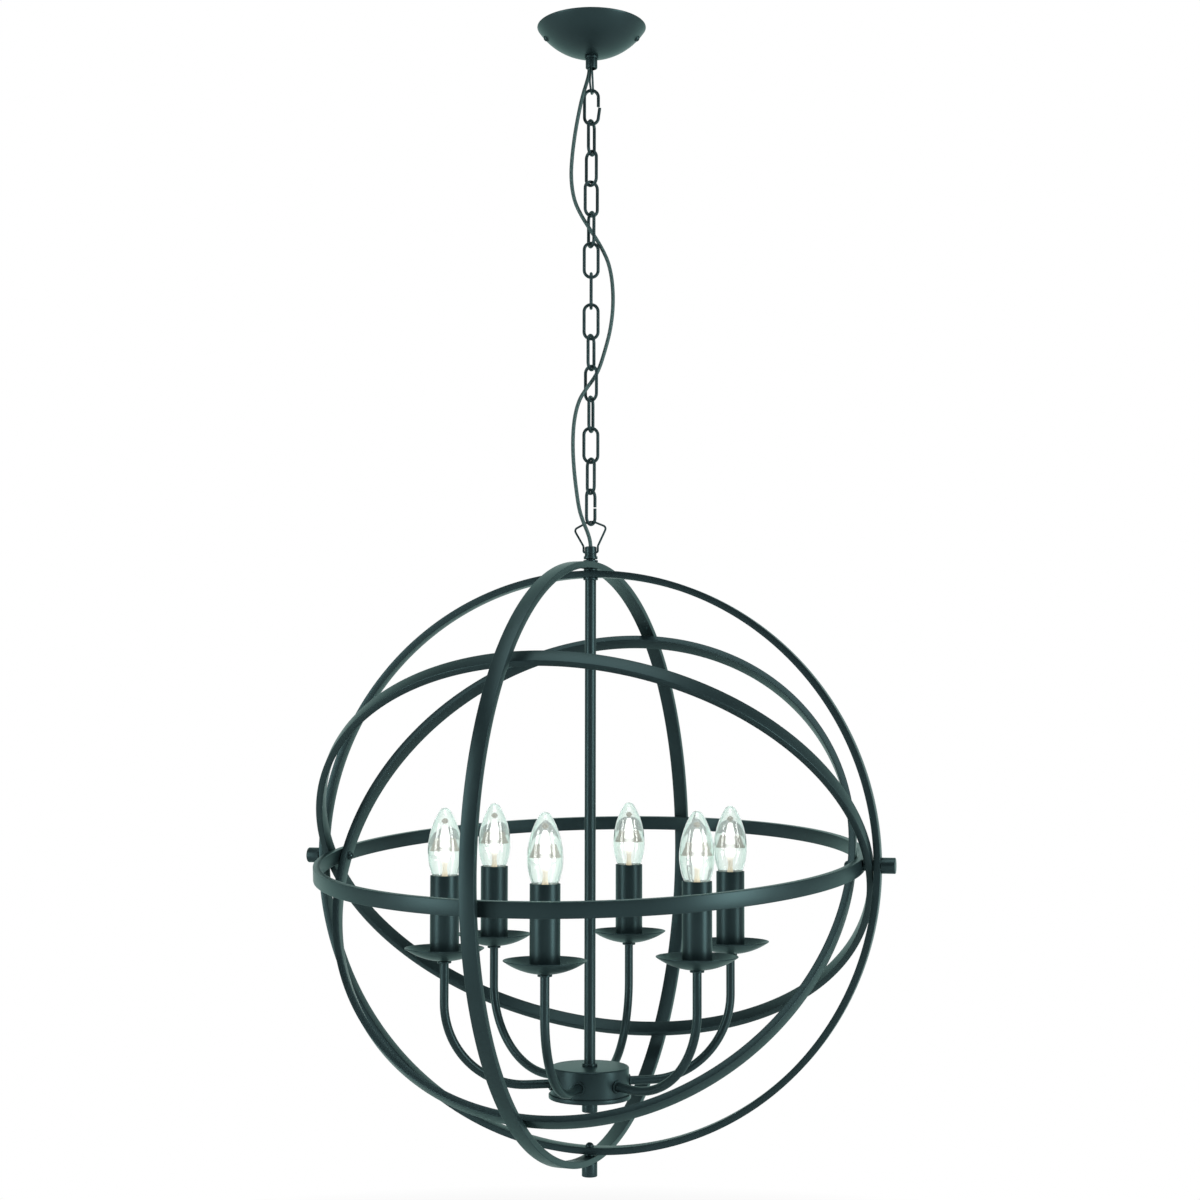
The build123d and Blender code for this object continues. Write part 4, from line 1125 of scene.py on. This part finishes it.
cap_high = neck - seat_gap
cap_low = cap_high - 22.0 * MM
cap_radius = 6.9 * MM
plug_radius, plug_high = 4.9 * MM, neck + 3.0 * MM
contact_z = cap_low - 2.6 * MM
cap_pitch = 2.4 * MM
ridge_radius = 1.0 * MM
cap_outline = [(0, contact_z), (2.0 * MM, contact_z), (4.0 * MM, cap_low)]
for turn_of_thread in range(7):
    bottom = cap_low + MM + turn_of_thread * cap_pitch
    cap_outline += arc((cap_radius - ridge_radius, bottom + cap_pitch / 2), ridge_radius, -70, 70, 5)
cap_outline += [(cap_radius, cap_high - 3.0 * MM), (cap_radius, cap_high), (plug_radius, cap_high),
                (plug_radius, plug_high), (0, plug_high)]
core_outline = rounded([(0, core_foot, 0), (3.6 * MM, core_foot, 0.4 * MM),
                        (post_radius, core_foot + 8 * MM, 6 * MM), (post_radius, core_start, 6 * MM),
                        (core_radius, core_start + 8 * MM, 5 * MM),
                        (core_radius, core_top - 14 * MM, 12 * MM),
                        (2.2 * MM, core_top, 1.6 * MM), (0, core_top, 0)], 6)
band_outline = rounded([(band_low_radius - band_wall, band_low, 0), (band_low_radius, band_low, 0),
                        (band_high_radius + 2.2 * MM, band_low + 4.4 * MM, 5 * MM),
                        (band_high_radius, band_high, 0), (band_high_radius - band_wall, band_high, 0),
                        (band_low_radius - band_wall, band_low, 0)], 5)
facet_low = core_top + 1.5 * MM
facet_outline = [(0, facet_low), (1.6 * MM, facet_low), (3.9 * MM, facet_low + 2.6 * MM),
                 (1.8 * MM, facet_low + 5.2 * MM), (0, facet_low + 5.6 * MM)]
bulb_parts = {"bulb_glass": (lathe(glass_outline, 96), clear_glass, 40),
              "bulb_cap": (lathe(cap_outline, 64), nickel, 60),
              "bulb_core": (lathe(core_outline, 48), lit_core, 50),
              "bulb_band": (lathe(band_outline, 64), smoky_band, 40),
              "bulb_facet": (lathe(facet_outline, 8), smoky_band, 20)}
for number in range(1, lamp_count + 1):
    bearing = (Matrix.Rotation(lamp_phase + 2 * math.pi * (number - 1) / lamp_count, 4, "Z")
               @ Matrix.Translation((lamp_circle, 0, 0)))
    for name, (piece, material, soft_angle) in bulb_parts.items():
        finish(place(copy_of(piece), bearing), f"{name}_{number}", material, f"bulb_{number}",
               [f"bulb_{number}"], soft_angle)
for piece, material, soft_angle in bulb_parts.values():
    bpy.data.objects.remove(piece)
print("bulb", round(glass_outside[-1][1] - neck, 4), "high above its cap")

# %% [markdown]
# ## Light, background and floor
#
# The photograph is a studio picture on pure white. Two tall soft boxes stand left and right of the camera
# and draw the two bright stripes on every tube, and a broad soft light above brightens the top faces. The
# room behind the camera is dark, which makes the dark stripe between them. The world is white for rays
# that leave the camera or pass through glass, and the floor fades to the same white away from the object.


# %% World
def make_world():
    """White for the camera and the glass, and a studio's dark and light sides for reflections."""
    world = bpy.data.worlds.new("studio")
    bpy.context.scene.world = world
    world.use_nodes = True
    tree = world.node_tree
    tree.nodes.clear()
    out = tree.nodes.new("ShaderNodeOutputWorld")
    seen = tree.nodes.new("ShaderNodeLightPath").outputs
    toward_camera = Vector((math.sin(camera_turn), -math.cos(camera_turn), 0))
    facing = tree.nodes.new("ShaderNodeVectorMath")
    facing.operation = "DOT_PRODUCT"
    tree.links.new(tree.nodes.new("ShaderNodeTexCoord").outputs["Generated"], facing.inputs[0])
    facing.inputs[1].default_value = -toward_camera
    ramp = tree.nodes.new("ShaderNodeValToRGB")
    dark_until, dark_room, white = 0.42, (0.020, 0.023, 0.025, 1), (1, 1, 1, 1)
    ramp.color_ramp.elements[0].position = dark_until
    ramp.color_ramp.elements[0].color = dark_room
    ramp.color_ramp.elements[1].position = 1.0
    ramp.color_ramp.elements[1].color = white
    shifted = math_node(tree, "MULTIPLY", math_node(tree, "ADD", facing.outputs["Value"], 1.0), 0.5)
    tree.links.new(shifted, ramp.inputs["Fac"])
    result = mixed_colour(tree, seen["Is Glossy Ray"], (0.15, 0.16, 0.16), ramp.outputs["Color"])
    for ray in ("Is Camera Ray", "Is Transmission Ray"):
        result = mixed_colour(tree, seen[ray], result, white[:3])
    background = tree.nodes.new("ShaderNodeBackground")
    tree.links.new(result, background.inputs["Color"])
    tree.links.new(background.outputs["Background"], out.inputs["Surface"])


make_world()


# %% Soft boxes
def soft_box(name, turn, rise, distance, width, height, watts):
    """A rectangular light at a bearing from the camera's side of the orb, aimed at the orb."""
    deselect()
    bearing = camera_turn + math.radians(turn)
    spot = Vector((math.sin(bearing), -math.cos(bearing), 0)) * distance + UP * rise
    bpy.ops.object.light_add(type="AREA", location=orb + spot)
    light = bpy.context.object
    light.name = name
    light.data.shape = "RECTANGLE"
    light.data.size = width
    light.data.size_y = height
    light.data.energy = watts
    light.rotation_euler = (-spot).to_track_quat("-Z", "Y").to_euler()


soft_box("left_box", -62, 0.25, 2.4, 0.8, 2.4, 42)
soft_box("right_box", 58, 0.25, 2.4, 0.8, 2.4, 62)
soft_box("top_box", 0, 2.6, 0.6, 2.2, 2.2, 45)


# %% Floor
def make_floor():
    """A pale floor that keeps the shadow and fades to white around the object."""
    floor_drop, fade_start, fade_end = 0.35, 0.55, 1.5
    deselect()
    bpy.ops.mesh.primitive_plane_add(size=60, location=(0, 0, cad_low.z - floor_drop))
    floor = bpy.context.object
    floor.name = "floor"
    material, tree, shader = principled("pale_floor")
    settings(shader, Base_Color=(0.90, 0.90, 0.90, 1), Roughness=0.9, Specular_IOR_Level=0.1)
    glow = tree.nodes.new("ShaderNodeEmission")
    length = tree.nodes.new("ShaderNodeVectorMath")
    length.operation = "LENGTH"
    tree.links.new(tree.nodes.new("ShaderNodeTexCoord").outputs["Object"], length.inputs[0])
    fade = tree.nodes.new("ShaderNodeMapRange")
    settings(fade, From_Min=fade_start, From_Max=fade_end)
    tree.links.new(length.outputs["Value"], fade.inputs["Value"])
    seen = tree.nodes.new("ShaderNodeLightPath").outputs
    rays = math_node(tree, "MAXIMUM", seen["Is Camera Ray"], seen["Is Transmission Ray"])
    rays = math_node(tree, "MAXIMUM", rays, seen["Is Glossy Ray"])
    blend = tree.nodes.new("ShaderNodeMixShader")
    tree.links.new(math_node(tree, "MULTIPLY", fade.outputs["Result"], rays), blend.inputs["Fac"])
    tree.links.new(shader.outputs["BSDF"], blend.inputs[1])
    tree.links.new(glow.outputs["Emission"], blend.inputs[2])
    tree.links.new(blend.outputs["Shader"], tree.nodes["Material Output"].inputs["Surface"])
    floor.data.materials.append(material)
    floor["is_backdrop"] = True


make_floor()
bpy.context.scene.view_settings.view_transform = "Standard"

# %% [markdown]
# ## Plain pieces keep their built shape
#
# Pieces that are hidden, or small and already right, stay as the frame has them and get a finish.

# %% Finishes on the frame's own pieces
node_finishes = {
    "ceiling_bracket": zinc, "canopy_nut": brass, "canopy_bush": dark_plastic, "stem_bush": dark_plastic,
    "terminal_block": white_plastic, "hub_connector": white_plastic, "lampholders": white_plastic,
    "canopy_lead": lead_insulation, "inner_leads": lead_insulation}
for name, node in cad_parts.items():
    node.data.materials.clear()
    node.data.materials.append(node_finishes.get(name, slate_paint))
print(len(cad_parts), "nodes have their finish")

# %% [markdown]
# ## Done
#
# The box of the finished model is measured over its rendered pieces, leaving out the floor.

# %% Sizes and the last line
low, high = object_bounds()
